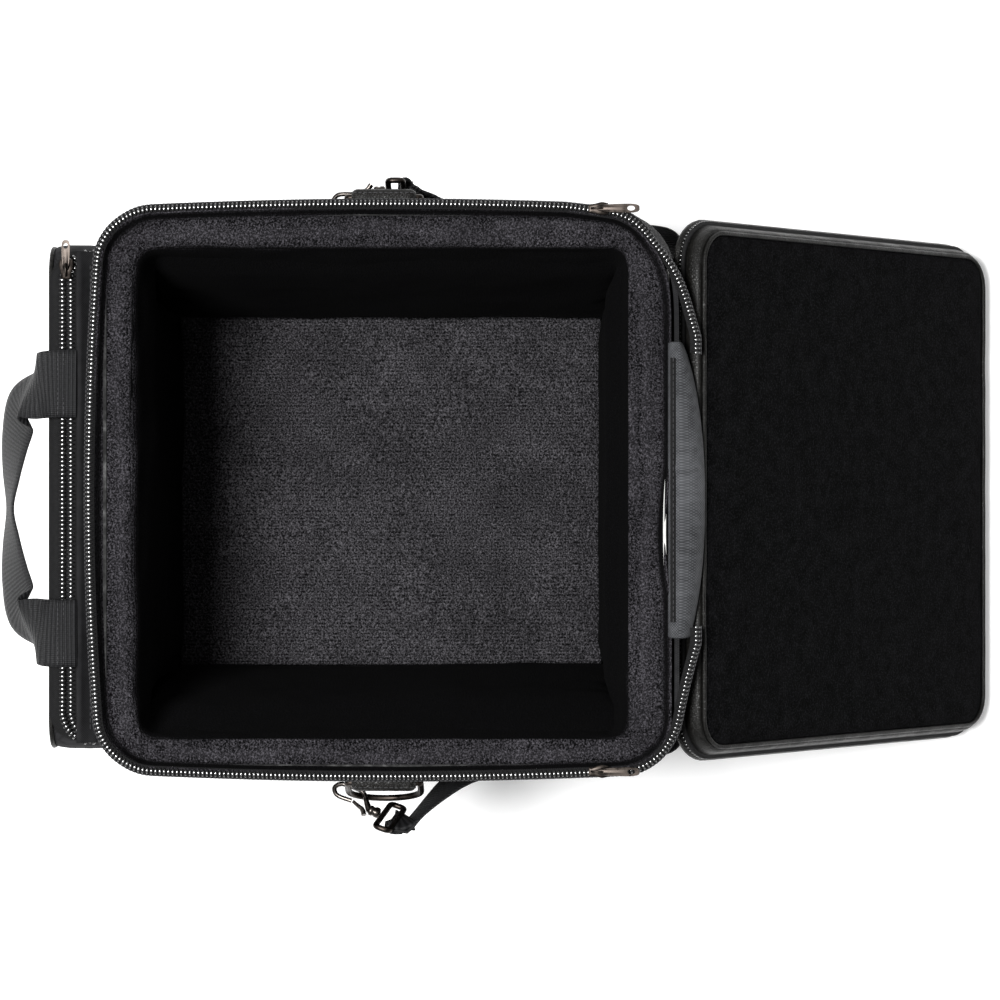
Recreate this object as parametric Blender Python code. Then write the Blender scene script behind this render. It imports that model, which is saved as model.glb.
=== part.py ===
"""A soft padded carry case for miniatures, with its lid unzipped and hanging open behind it.

Metres, +Z up. The origin is the middle of the base's underside. The front pocket and the carry handle face -Y,
the lid is hinged along the rear wall's top edge at +Y, and the strap hooks hang on the -X and +X sides.
"""

import math

import bmesh
import bpy
from mathutils import Matrix, Vector

# ---- driving dimensions -------------------------------------------------------------------------
GAP = 0.0003  # between pieces that touch
HALF_X = 0.1595  # the shell's half width
HALF_Y = 0.1635  # the shell's half depth
CORNER = 0.031  # the shell's corner radius in plan
RIM_Z = 0.259  # top of the rim's zip coil
SHELL = 0.003
BOARD = 0.0018
WEBBING = 0.038
WEBBING_THICK = 0.0022

# rim zip, as insets from the shell's outline
TAPE_INSET = (0.0, 0.0056)
COIL_INSET = (0.0032, 0.0064)
COIL_HEIGHT = 0.0027
TAPE_THICK = 0.0012
SHELL_TOP = RIM_Z - COIL_HEIGHT - TAPE_THICK - 2 * GAP
ZIP_END_X = 0.075  # both zip halves end here on the rear side, left and right of the hinge

# padded walls: half openings at the top and at the floor
PAD_TOP = RIM_Z - 0.012
OPEN_X_TOP, OPEN_X_FLOOR = 0.138, 0.108
OPEN_FRONT_TOP, OPEN_FRONT_FLOOR = -0.1455, -0.135
OPEN_REAR = 0.124
BASE_THICK = 0.0035
FLOOR_TOP = 0.014

# lid, in its closed place
LID_HALF_X, LID_HALF_Y, LID_CENTRE_Y, LID_CORNER = 0.1515, 0.1535, -0.002, 0.024
LID_INNER_Z = RIM_Z - 0.010
HINGE = Vector((0, HALF_Y, RIM_Z - 0.005))
LID_OPEN_DEG = 230.5

# front pocket
POCKET_CENTRE_X, POCKET_HALF_X = 0.004, 0.144
POCKET_BOTTOM, POCKET_TOP = 0.020, RIM_Z - 0.0325
POCKET_DEPTH = 0.029
POCKET_CORNER = 0.018
CHAIN_Y, CHAIN_HALF = -0.183, 0.0041

# carry handle
HANDLE_CENTRE_X = 0.0105
HANDLE_HALF_SPAN = 0.0705
HANDLE_PIVOT = Vector((HANDLE_CENTRE_X, -0.1775, RIM_Z - 0.021))

# D-rings, hooks and strap, given for the left side, as distances from the case's middle plane
RING_BAR_R = 0.165
RING_BAR_Z = RIM_Z - 0.016
RING_FRONT_Y, RING_REAR_Y = -0.0231, 0.0181
RING_WIRE = 0.0019
HOOK_DROP = 0.024
HOOK_R = 0.1705
HOOK_WIRE = 0.0014
EYE_WIRE = 0.0017

# ---- materials ----------------------------------------------------------------------------------
FINISHES = {
    "outer_fabric": ((0.022, 0.022, 0.024), 0.85, 0.0),
    "lining": ((0.018, 0.017, 0.02), 0.95, 0.0),
    "felt": ((0.008, 0.008, 0.01), 0.95, 0.0),
    "board": ((0.55, 0.55, 0.53), 0.6, 0.0),
    "hinge_fabric": ((0.13, 0.13, 0.14), 0.85, 0.0),
    "leatherette": ((0.02, 0.019, 0.018), 0.45, 0.0),
    "zip_tape": ((0.06, 0.06, 0.062), 0.8, 0.0),
    "zip_coil": ((0.015, 0.015, 0.016), 0.25, 0.0),
    "webbing": ((0.025, 0.025, 0.028), 0.6, 0.0),
    "gunmetal": ((0.18, 0.16, 0.15), 0.25, 1.0),
    "plastic": ((0.02, 0.02, 0.02), 0.4, 0.0),
    "foam": ((0.1, 0.1, 0.1), 0.95, 0.0),
}


def material(name):
    found = bpy.data.materials.get(name)
    if found:
        return found
    colour, roughness, metallic = FINISHES[name]
    made = bpy.data.materials.new(name)
    made.use_nodes = True
    shader = made.node_tree.nodes["Principled BSDF"]
    shader.inputs["Base Color"].default_value = (*colour, 1)
    shader.inputs["Roughness"].default_value = roughness
    shader.inputs["Metallic"].default_value = metallic
    made.diffuse_color = (*colour, 1)
    return made


# ---- shape helpers ------------------------------------------------------------------------------
def clear_scene():
    for obj in list(bpy.data.objects):
        bpy.data.objects.remove(obj, do_unlink=True)


def axis_empty(name, location, rotation=(0, 0, 0)):
    empty = bpy.data.objects.new(name, None)
    empty.location = location
    empty.rotation_euler = rotation
    bpy.context.scene.collection.objects.link(empty)
    return empty


def place(obj, finish, parent=None, origin=(0, 0, 0)):
    """Link obj, finish it, and hang it on parent, whose axis passes through origin."""
    obj.data.materials.append(material(finish))
    bpy.context.scene.collection.objects.link(obj)
    if parent:
        obj.parent = parent
        obj.location = obj.location - Vector(origin)
    return obj


def mesh_object(name, bm):
    bmesh.ops.recalc_face_normals(bm, faces=bm.faces)
    mesh = bpy.data.meshes.new(name)
    bm.to_mesh(mesh)
    bm.free()
    mesh.shade_smooth()
    mesh.set_sharp_from_angle(angle=math.radians(40))
    return bpy.data.objects.new(name, mesh)


def loft(name, rows, closed_section=True):
    """Join equal rows of points into one closed solid, with a face over the first row and over the last."""
    bm = bmesh.new()
    rings = [[bm.verts.new(point) for point in row] for row in rows]
    count = len(rings[0])
    for lower, upper in zip(rings, rings[1:]):
        for i in range(count if closed_section else count - 1):
            j = (i + 1) % count
            bm.faces.new((lower[i], lower[j], upper[j], upper[i]))
    bm.faces.new(rings[0])
    bm.faces.new(rings[-1])
    return mesh_object(name, bm)


def box(name, low, high, bevel=0.0):
    xs, ys = (low[0], high[0]), (low[1], high[1])
    plan = [(xs[0], ys[0]), (xs[1], ys[0]), (xs[1], ys[1]), (xs[0], ys[1])]
    obj = loft(name, [[(x, y, z) for x, y in plan] for z in (low[2], high[2])])
    if bevel:
        modifier = obj.modifiers.new("edges", "BEVEL")
        modifier.width = bevel
        modifier.segments = 2
    return obj


def corner_arcs(half_x, half_y, radius, centre=(0, 0), inset=0.0, steps=6):
    """The four corner arcs of a rounded rectangle, in order: rear right, front right, front left, rear left."""
    radius_in = radius - inset
    arcs = []
    for k, (sx, sy) in enumerate([(1, 1), (1, -1), (-1, -1), (-1, 1)]):
        middle = (centre[0] + sx * (half_x - radius), centre[1] + sy * (half_y - radius))
        turns = [math.radians(90 - 90 * k - 90 * i / steps) for i in range(steps + 1)]
        arcs.append([(middle[0] + radius_in * math.cos(a), middle[1] + radius_in * math.sin(a)) for a in turns])
    return arcs


def shell_arcs(inset, steps=6):
    return corner_arcs(HALF_X, HALF_Y, CORNER, inset=inset, steps=steps)


def lid_arcs(inset, steps=6):
    return corner_arcs(LID_HALF_X, LID_HALF_Y, LID_CORNER, (0, LID_CENTRE_Y), inset, steps)


def open_loop(arcs, end_x):
    """All four corners, from +end_x on the rear side round to -end_x."""
    rear_y = arcs[0][0][1]
    return [(end_x, rear_y)] + [point for arc in arcs for point in arc] + [(-end_x, rear_y)]


def plate(name, outline, low, high):
    return loft(name, [[(x, y, z) for x, y in outline] for z in (low, high)])


def band(name, outer, inner, low, high, closed=False):
    """A wall of the given height between two matching outlines, open-ended or closed into a ring."""
    rows = []
    for (ox, oy), (ix, iy) in zip(outer, inner):
        rows.append([(ox, oy, low), (ox, oy, high), (ix, iy, high), (ix, iy, low)])
    if not closed:
        return loft(name, rows)
    bm = bmesh.new()
    rings = [[bm.verts.new(point) for point in row] for row in rows]
    for lower, upper in zip(rings, rings[1:] + rings[:1]):
        for i in range(4):
            j = (i + 1) % 4
            bm.faces.new((lower[i], lower[j], upper[j], upper[i]))
    return mesh_object(name, bm)


def tube(name, points, radius, closed=False, radii=None, sides=1):
    """A round bar through points, as a curve with a bevel and filled caps."""
    curve = bpy.data.curves.new(name, "CURVE")
    curve.dimensions = "3D"
    curve.bevel_depth = radius
    curve.bevel_resolution = sides
    curve.use_fill_caps = True
    spline = curve.splines.new("POLY")
    spline.points.add(len(points) - 1)
    for i, point in enumerate(points):
        spline.points[i].co = (*point, 1)
        spline.points[i].radius = radii[i] / radius if radii else 1
        spline.use_smooth = True
    spline.use_cyclic_u = closed
    return bpy.data.objects.new(name, curve)


def smooth_route(controls, per_span):
    """Points on a Catmull-Rom curve through controls, which are equal-length tuples of numbers."""
    padded = [controls[0]] + list(controls) + [controls[-1]]
    route = []
    for a, b, c, d in zip(padded, padded[1:], padded[2:], padded[3:]):
        for i in range(per_span):
            t = i / per_span
            weights = (
                -0.5 * t + t * t - 0.5 * t**3,
                1 - 2.5 * t * t + 1.5 * t**3,
                0.5 * t + 2 * t * t - 1.5 * t**3,
                -0.5 * t * t + 0.5 * t**3,
            )
            route.append(tuple(sum(w * p[k] for w, p in zip(weights, (a, b, c, d))) for k in range(len(b))))
    route.append(tuple(controls[-1]))
    return route


def ribbon(name, stations, width=WEBBING, thick=WEBBING_THICK):
    """Flat webbing along stations (x, y, z, then its width direction)."""
    centres = [Vector(s[:3]) for s in stations]
    rows = []
    for i, station in enumerate(stations):
        along = (centres[min(i + 1, len(centres) - 1)] - centres[max(i - 1, 0)]).normalized()
        across = Vector(station[3:])
        across = (across - along * across.dot(along)).normalized()
        normal = along.cross(across)
        corners = ((-1, -1), (1, -1), (1, 1), (-1, 1))
        rows.append([centres[i] + across * (width / 2 * a) + normal * (thick / 2 * b) for a, b in corners])
    return loft(name, rows)


# ---- case body ----------------------------------------------------------------------------------
def build_shell():
    straight_y = HALF_Y - CORNER - GAP
    outer, inner = shell_arcs(0), shell_arcs(SHELL)
    low = BASE_THICK + GAP
    place(band("front_panel", outer[1] + outer[2], inner[1] + inner[2], low, SHELL_TOP), "outer_fabric")
    place(band("rear_panel", outer[3] + outer[0], inner[3] + inner[0], low, SHELL_TOP), "outer_fabric")
    for name, side in (("left_panel", -1), ("right_panel", 1)):
        x_in, x_out = sorted((side * (HALF_X - SHELL), side * HALF_X))
        place(box(name, (x_in, -straight_y, low), (x_out, straight_y, SHELL_TOP)), "outer_fabric")
    base_outline = [point for arc in shell_arcs(0.0005) for point in arc]
    place(plate("base_panel", base_outline, 0, BASE_THICK), "outer_fabric")
    piping = [(x, y, 0.005) for arc in shell_arcs(-0.002, steps=5) for x, y in arc]
    place(tube("base_piping", piping, 0.0016, closed=True), "leatherette")
    board_top = RIM_Z - 0.010
    board_out = HALF_X - SHELL - GAP
    for name, side in (("left_board", -1), ("right_board", 1)):
        x_in, x_out = sorted((side * (board_out - BOARD), side * board_out))
        low_corner = (x_in, -0.128, low)
        place(box(name, low_corner, (x_out, 0.128, board_top)), "board")
    front_out = -(HALF_Y - SHELL - GAP)
    place(box("front_board", (-0.124, front_out, low), (0.124, front_out + BOARD, board_top)), "board")
    place(box("rear_board", (-0.124, 0.1564, low), (0.124, 0.1564 + BOARD, board_top)), "board")
    place(
        box("base_board", (-0.105, -0.132, low), (0.105, 0.121, low + BOARD)),
        "board",
    )


def build_padding():
    """Wall pads with slanting inner faces: the side pads run the whole depth, and the others fit between them."""
    low = BASE_THICK + GAP
    out_x = HALF_X - SHELL - BOARD - 3 * GAP
    chamfer_x, tangent_y, end_y = out_x - 0.0075, HALF_Y - CORNER - 0.001, 0.149
    for name, side in (("left_wall_pad", -1), ("right_wall_pad", 1)):
        rows = []
        for z, open_x in ((low, OPEN_X_FLOOR), (PAD_TOP, OPEN_X_TOP)):
            plan = [(out_x, -tangent_y), (out_x, tangent_y), (chamfer_x, end_y), (open_x, end_y)]
            plan += [(open_x, -end_y), (chamfer_x, -end_y)]
            rows.append([(side * x, y, z) for x, y in plan])
        place(loft(name, rows), "lining")
    slack = 0.0008
    for name, outs, ins in (
        ("front_wall_pad", (-0.1555, -0.1555), (OPEN_FRONT_FLOOR, OPEN_FRONT_TOP)),
        ("rear_wall_pad", (0.1560, 0.1560), (OPEN_REAR, OPEN_REAR)),
    ):
        rows = []
        for z, open_x, y_out, y_in in zip((low, PAD_TOP), (OPEN_X_FLOOR, OPEN_X_TOP), outs, ins):
            half = open_x - slack
            rows.append([(-half, y_out, z), (half, y_out, z), (half, y_in, z), (-half, y_in, z)])
        place(loft(name, rows), "lining")
    half = OPEN_X_FLOOR - slack
    pad_low = (-half, OPEN_FRONT_FLOOR + slack, low + BOARD + GAP)
    place(box("floor_pad", pad_low, (half, OPEN_REAR - slack, FLOOR_TOP)), "lining")


def build_rim_zip():
    tape_low = SHELL_TOP + GAP
    loops = [open_loop(shell_arcs(inset), ZIP_END_X) for inset in TAPE_INSET]
    place(band("rim_zip_tape", loops[0], loops[1], tape_low, tape_low + TAPE_THICK), "zip_tape")
    loops = [open_loop(shell_arcs(inset), ZIP_END_X) for inset in COIL_INSET]
    place(band("rim_zip_coil", loops[0], loops[1], RIM_Z - COIL_HEIGHT, RIM_Z), "zip_coil")
    half = ZIP_END_X - 0.001
    profile = [(0.1578, -0.0034), (0.1605, -0.0028), (0.164, -0.0026), (0.168, -0.003), (0.171, -0.0045)]
    profile.append((0.1735, -0.0075))
    rows = []
    for y, z in profile:
        rows.append([(-half, y, RIM_Z + z - 0.0006), (half, y, RIM_Z + z - 0.0006)])
        rows[-1] += [(half, y, RIM_Z + z + 0.0006), (-half, y, RIM_Z + z + 0.0006)]
    place(loft("hinge_gusset", rows), "hinge_fabric")


# ---- lid ----------------------------------------------------------------------------------------
def build_lid():
    axis = axis_empty("lid_hinge_axis", HINGE, (math.radians(-LID_OPEN_DEG), 0, 0))

    def add(obj, finish):
        place(obj, finish, axis, HINGE)

    def outline(inset):
        return [point for arc in lid_arcs(inset) for point in arc]

    piping = [(x, y, LID_INNER_Z + 0.0015) for x, y in outline(0.0016)]
    add(tube("lid_piping", piping, 0.0015, closed=True), "leatherette")
    add(plate("lid_lining", outline(0.0034), LID_INNER_Z, LID_INNER_Z + 0.0035), "felt")
    band_low = LID_INNER_Z + 0.0033
    add(band("lid_side_band", outline(0), outline(0.0012), band_low, RIM_Z, closed=True), "leatherette")
    core_low = LID_INNER_Z + 0.0035 + GAP
    add(plate("lid_foam", outline(0.0033), core_low, RIM_Z + 0.0042), "foam")
    coil_low = RIM_Z + GAP
    coil = [open_loop(lid_arcs(inset), ZIP_END_X) for inset in (-0.0015, 0.0013)]
    add(band("lid_zip_coil", coil[0], coil[1], coil_low, coil_low + COIL_HEIGHT), "zip_coil")
    tape_low = coil_low + COIL_HEIGHT + GAP
    tape = [open_loop(lid_arcs(inset), ZIP_END_X) for inset in (0.0003, 0.0029)]
    add(band("lid_zip_tape", tape[0], tape[1], tape_low, tape_low + 0.0009), "zip_tape")
    rows = []
    for rise, inset in ((0.0045, 0.0), (0.006, 0.0022), (0.010, 0.0072), (0.012, 0.0102)):
        arcs = corner_arcs(LID_HALF_X + 0.0015, LID_HALF_Y + 0.00075, LID_CORNER, (0, -0.00275), inset)
        rows.append([(x, y, RIM_Z + rise) for arc in arcs for x, y in arc])
    add(loft("lid_cover", rows), "leatherette")


# ---- front pocket -------------------------------------------------------------------------------
def build_pocket():
    """The pocket is drawn in the X-Z plane and turned to stand on the front wall."""
    centre = (POCKET_CENTRE_X, (POCKET_BOTTOM + POCKET_TOP) / 2)
    half_z = (POCKET_TOP - POCKET_BOTTOM) / 2
    front_y = -HALF_Y - GAP

    def stand(obj):
        obj.location = (0, front_y, 0)
        obj.rotation_euler = (math.pi / 2, 0, 0)
        return place(obj, "outer_fabric")

    rims = []
    for inset in (0, 0.0025):
        arcs = corner_arcs(POCKET_HALF_X, half_z, POCKET_CORNER, centre, inset, steps=5)
        edge = POCKET_HALF_X - inset
        rims.append([(POCKET_CENTRE_X + edge, POCKET_TOP)] + arcs[1] + arcs[2] + [(POCKET_CENTRE_X - edge, POCKET_TOP)])
    panel_low = POCKET_DEPTH - GAP - 0.0025
    stand(band("pocket_gusset", rims[0], rims[1], 0, panel_low - GAP))
    stand(plate("pocket_panel", rims[0], panel_low, POCKET_DEPTH - GAP))
    low = POCKET_TOP + GAP
    left, right = POCKET_CENTRE_X - POCKET_HALF_X, POCKET_CENTRE_X + POCKET_HALF_X
    band_front = CHAIN_Y + CHAIN_HALF + GAP
    place(box("pocket_top_band", (left + 0.004, band_front, low), (right - 0.004, front_y, low + 0.0027)), "outer_fabric")
    ridge_low = (left + 0.006, -0.1755, low + 0.003)
    place(box("pocket_seam_ridge", ridge_low, (right - 0.006, -0.172, HANDLE_PIVOT.z + 0.0012)), "outer_fabric")
    chain_low = (left + 0.002, CHAIN_Y - CHAIN_HALF, low + 0.0002)
    chain_high = (right - 0.002, CHAIN_Y + CHAIN_HALF, low + 0.0028)
    place(box("pocket_zip_chain", chain_low, chain_high), "zip_coil")
    tape_high = (right - 0.003, CHAIN_Y - CHAIN_HALF - GAP, low + 0.0012)
    place(box("pocket_zip_tape", (left + 0.003, -HALF_Y - POCKET_DEPTH, low), tape_high), "zip_tape")


# ---- zip sliders and pullers --------------------------------------------------------------------
def build_sliders():
    for name, side in (("left", -1), ("right", 1)):
        pivot = Vector((side * 0.1573, 0.118, RIM_Z + 0.0052))
        slider_axis = axis_empty(f"{name}_slider_travel", pivot)
        body = box(
            f"{name}_rim_slider",
            (pivot.x - 0.0036, pivot.y - 0.0055, RIM_Z + GAP),
            (pivot.x + 0.0036, pivot.y + 0.0055, RIM_Z + 0.0037),
            bevel=0.0008,
        )
        place(body, "gunmetal", slider_axis, pivot)
        puller_axis = axis_empty(f"{name}_puller_axis", pivot)
        puller = box(
            f"{name}_rim_puller",
            (pivot.x - 0.003, pivot.y - 0.001, pivot.z - 0.0007),
            (pivot.x + 0.003, pivot.y + 0.023, pivot.z + 0.0007),
            bevel=0.0004,
        )
        place(puller, "gunmetal", puller_axis, pivot)
    chain_top = POCKET_TOP + GAP + 0.0028
    pivot = Vector((-0.1255, CHAIN_Y, chain_top + 0.0048))
    travel = axis_empty("pocket_slider_travel", pivot)
    low = (pivot.x - 0.0055, pivot.y - 0.004, chain_top + GAP)
    high = (pivot.x + 0.0055, pivot.y + 0.004, chain_top + 0.0033)
    place(box("pocket_slider", low, high, bevel=0.0008), "gunmetal", travel, pivot)
    flap = axis_empty("pocket_puller_axis", pivot)
    low = (pivot.x - 0.0165, pivot.y - 0.0028, pivot.z - 0.0006)
    high = (pivot.x + 0.001, pivot.y + 0.0028, pivot.z + 0.0006)
    place(box("pocket_puller", low, high, bevel=0.0004), "gunmetal", flap, pivot)


# ---- carry handle -------------------------------------------------------------------------------
def handle_controls():
    """Half of the handle, from its seam to its middle: offsets from the pivot line, then the width direction."""
    span = HANDLE_HALF_SPAN
    return [
        (-span, 0.0, 0.0, 1, 0, 0),
        (-span, -0.011, 0.0, 1, 0, 0),
        (-span + 0.001, -0.020, -0.0035, 1, -0.1, 0.05),
        (-span + 0.005, -0.028, -0.012, 0.85, -0.35, 0.4),
        (-span + 0.016, -0.034, -0.021, 0.5, -0.2, 0.85),
        (-span + 0.034, -0.039, -0.027, 0.2, 0.12, 0.95),
        (-span + 0.054, -0.042, -0.030, 0.05, 0.15, 1),
        (0.0, -0.043, -0.031, 0, 0.1, 1),
    ]


def build_handle():
    axis = axis_empty("carry_handle_axis", HANDLE_PIVOT)
    left = handle_controls()
    right = [(-x, y, z, -wx, wy, wz) for x, y, z, wx, wy, wz in reversed(left[:-1])]
    stations = smooth_route(left + right, 4)
    place(ribbon("carry_handle", stations), "webbing", axis)


# ---- D-rings, snap hooks and strap --------------------------------------------------------------
class HookSide:
    """Places the hook set of one side. Local points are (outwards, along Y, up), in metres from the case's middle."""

    def __init__(self, name, side, swing, yaw, roll):
        self.name, self.side = name, side
        bar = Vector((RING_BAR_R, 0, RING_BAR_Z))
        leg = Vector((RING_BAR_R, RING_FRONT_Y + 0.0018, 0))
        hook = Vector((HOOK_R, 0, RING_BAR_Z - HOOK_DROP))
        self.swing = about(bar, "Y", -swing)
        self.yaw = self.swing @ about(leg, "Z", -yaw)
        self.roll = self.yaw @ about(hook, "Y", roll)
        self.mirror = Matrix.Diagonal((side, 1, 1, 1))

    def world(self, matrix, point):
        return self.mirror @ matrix @ Vector(point)


def about(point, axis, degrees):
    move = Matrix.Translation(point)
    return move @ Matrix.Rotation(math.radians(degrees), 4, axis) @ move.inverted()


def d_ring_points():
    """The D's centre line: a straight bar in the tab, two legs and a round bow."""
    front, rear, top, leg = RING_FRONT_Y, RING_REAR_Y, RING_BAR_Z, 0.018
    radius, middle = (rear - front) / 2, (rear + front) / 2
    cut = 0.0015
    points = [(front + cut, top), (rear - cut, top), (rear, top - cut), (rear, top - leg)]
    for i in range(1, 12):
        turn = math.pi * i / 12
        points.append((middle + radius * math.cos(turn), top - leg - 0.72 * radius * math.sin(turn)))
    points += [(front, top - leg), (front, top - cut)]
    return [(RING_BAR_R, y, z) for y, z in points]


def hook_points():
    """The hook's centre line, from the swivel barrel round the nose to the gate, with its radius at each point."""
    z = RING_BAR_Z - HOOK_DROP
    route = [
        (0.1705, -0.0028, 0.0032),
        (0.1705, -0.0084, 0.0032),
        (0.1698, -0.0092, 0.0018),
        (0.1660, -0.0124, HOOK_WIRE),
        (0.1626, -0.0150, HOOK_WIRE),
        (0.1613, -0.0185, HOOK_WIRE),
        (0.1612, -0.0270, HOOK_WIRE),
        (0.1622, -0.0302, HOOK_WIRE),
        (0.1650, -0.0320, HOOK_WIRE),
        (0.1678, -0.0304, HOOK_WIRE),
        (0.1689, -0.0272, HOOK_WIRE),
        (0.1689, -0.0202, HOOK_WIRE),
    ]
    return [(r, y, z) for r, y, _ in route], [radius for _, _, radius in route]


GATE_PIVOT = (0.1715, -0.0128, RING_BAR_Z - HOOK_DROP)
GATE_POINTS = [(0.1742, -0.0105), (0.1715, -0.0128), (0.1705, -0.0153), (0.1689, -0.0193)]
EYE_INNER_Y, EYE_OUTER_Y, EYE_HALF, EYE_TILT = -0.0004, 0.0080, 0.0205, 13.0


def eye_points():
    """The strap eye: a long flat loop whose long bars stand nearly upright."""
    z = RING_BAR_Z - HOOK_DROP
    lean = (math.sin(math.radians(EYE_TILT)), math.cos(math.radians(EYE_TILT)))
    half, cut = EYE_HALF, 0.0025
    plan = [(EYE_INNER_Y, half - cut), (EYE_INNER_Y + cut, half), (EYE_OUTER_Y - cut, half), (EYE_OUTER_Y, half - cut)]
    plan += [(y, -v) for y, v in reversed(plan)]
    return [(HOOK_R + v * lean[0], y, z + v * lean[1]) for y, v in plan]


def build_hooks(sides):
    for s in sides:
        tab = box(
            f"{s.name}_ring_tab",
            (min(s.side * 0.16, s.side * 0.1695), -0.0203, RING_BAR_Z - 0.006),
            (max(s.side * 0.16, s.side * 0.1695), 0.0153, RING_BAR_Z + 0.006),
            bevel=0.002,
        )
        bore = tube(f"{s.name}_tab_bore", [(s.side * RING_BAR_R, y, RING_BAR_Z) for y in (-0.03, 0.03)], 0.0023)
        cutter = bpy.data.objects.new(f"{s.name}_tab_cutter", bpy.data.meshes.new_from_object(bore))
        bpy.data.objects.remove(bore)
        bpy.context.scene.collection.objects.link(cutter)
        cutter.hide_render = True
        cutter.display_type = "WIRE"
        cut = tab.modifiers.new("bar hole", "BOOLEAN")
        cut.object = cutter
        place(tab, "leatherette")

        bar = s.mirror @ Vector((RING_BAR_R, 0, RING_BAR_Z))
        ring_axis = axis_empty(f"{s.name}_ring_axis", bar)
        ring = tube(f"{s.name}_d_ring", [s.world(s.swing, p) for p in d_ring_points()], RING_WIRE, closed=True)
        place(ring, "gunmetal", ring_axis, bar)
        points, radii = hook_points()
        hook = tube(f"{s.name}_snap_hook", [s.world(s.yaw, p) for p in points], HOOK_WIRE, radii=radii)
        place(hook, "gunmetal", ring_axis, bar)
        pivot = s.world(s.yaw, GATE_PIVOT)
        gate_axis = axis_empty(f"{s.name}_gate_axis", pivot)
        gate = [s.world(s.yaw, (r, y, GATE_PIVOT[2])) for r, y in GATE_POINTS]
        place(tube(f"{s.name}_hook_gate", gate, 0.0012), "gunmetal", gate_axis, pivot)
        centre = s.world(s.roll, (HOOK_R, EYE_INNER_Y, RING_BAR_Z - HOOK_DROP))
        eye_axis = axis_empty(f"{s.name}_eye_axis", centre)
        eye = tube(f"{s.name}_strap_eye", [s.world(s.roll, p) for p in eye_points()], EYE_WIRE, closed=True)
        place(eye, "gunmetal", eye_axis, centre)


STRAP_LOW_Z = WEBBING / 2 + 0.0015
STRAP_REAR_Y = HALF_Y + 0.0075
STRAP_JOIN_X = 0.020
LEFT_STRAP = [
    (0.1634, 0.046, 0.203, -0.02, 0.3, 0.95),
    (0.1622, 0.070, 0.172, 0, 0.6, 0.8),
    (0.1622, 0.104, 0.120, 0, 0.75, 0.66),
    (0.1630, 0.137, 0.058, 0, 0.75, 0.66),
    (0.1590, 0.162, 0.030, 0.05, 0.45, 0.9),
    (0.1400, 0.1765, 0.0215, 0, 0.1, 1),
    (0.1100, 0.1735, STRAP_LOW_Z, 0, 0, 1),
    (0.0600, STRAP_REAR_Y, STRAP_LOW_Z, 0, 0, 1),
]
RIGHT_STRAP = [
    (0.1735, 0.046, 0.2095, 0.25, 0.3, 0.92),
    (0.1645, 0.074, 0.174, 0.05, 0.6, 0.8),
] + LEFT_STRAP[2:]


def build_strap(sides):
    z = RING_BAR_Z - HOOK_DROP
    lean = (math.sin(math.radians(EYE_TILT)), math.cos(math.radians(EYE_TILT)))
    for s, route, join in ((sides[0], LEFT_STRAP, STRAP_JOIN_X - GAP), (sides[1], RIGHT_STRAP, -STRAP_JOIN_X - GAP)):
        across = (s.mirror @ s.roll).to_3x3() @ Vector((lean[0], 0, lean[1]))
        starts = [s.world(s.roll, (HOOK_R, y, z)) for y in (EYE_OUTER_Y + 0.0095, EYE_OUTER_Y + 0.0190)]
        controls = [(*start, *across) for start in starts]
        controls += [(s.side * r, y, z, s.side * wr, wy, wz) for r, y, z, wr, wy, wz in route]
        controls.append((-s.side * join, STRAP_REAR_Y, STRAP_LOW_Z, 0, 0, 1))
        place(ribbon(f"{s.name}_strap", smooth_route(controls, 4)), "webbing")


def build_adjuster():
    """A flat slider frame round the strap where it lies along the case's rear foot."""
    centre = Vector((STRAP_JOIN_X, STRAP_REAR_Y, STRAP_LOW_Z))
    half = Vector((0.012, 0.0034, WEBBING / 2 + 0.0013))
    axis = axis_empty("adjuster_travel", centre)
    frame = band(
        "strap_adjuster",
        [(y, z) for y, z in ((-half.y, -half.z), (half.y, -half.z), (half.y, half.z), (-half.y, half.z))],
        [(y, z) for y, z in ((-0.0018, -0.0195), (0.0018, -0.0195), (0.0018, 0.0195), (-0.0018, 0.0195))],
        -half.x,
        half.x,
        closed=True,
    )
    frame.rotation_euler = (math.pi / 2, 0, math.pi / 2)
    place(frame, "plastic", axis)


def main():
    clear_scene()
    build_shell()
    build_padding()
    build_rim_zip()
    build_lid()
    build_pocket()
    build_sliders()
    build_handle()
    sides = [HookSide("left", -1, 0, 0, 0), HookSide("right", 1, 20, 20, 22)]
    build_hooks(sides)
    build_strap(sides)
    build_adjuster()


main()
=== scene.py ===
"""The finished look of the padded miniature carry case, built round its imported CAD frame.

Metres, +Z up. The front pocket and the carry handle face -Y, the lid hangs open at +Y, and the strap hooks
hang on the -X and +X sides. Lid pieces are drawn closed and then turned to the open rest place.
"""

import math

import bmesh
import bpy
import numpy as np
from mathutils import Matrix, Vector, noise


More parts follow.
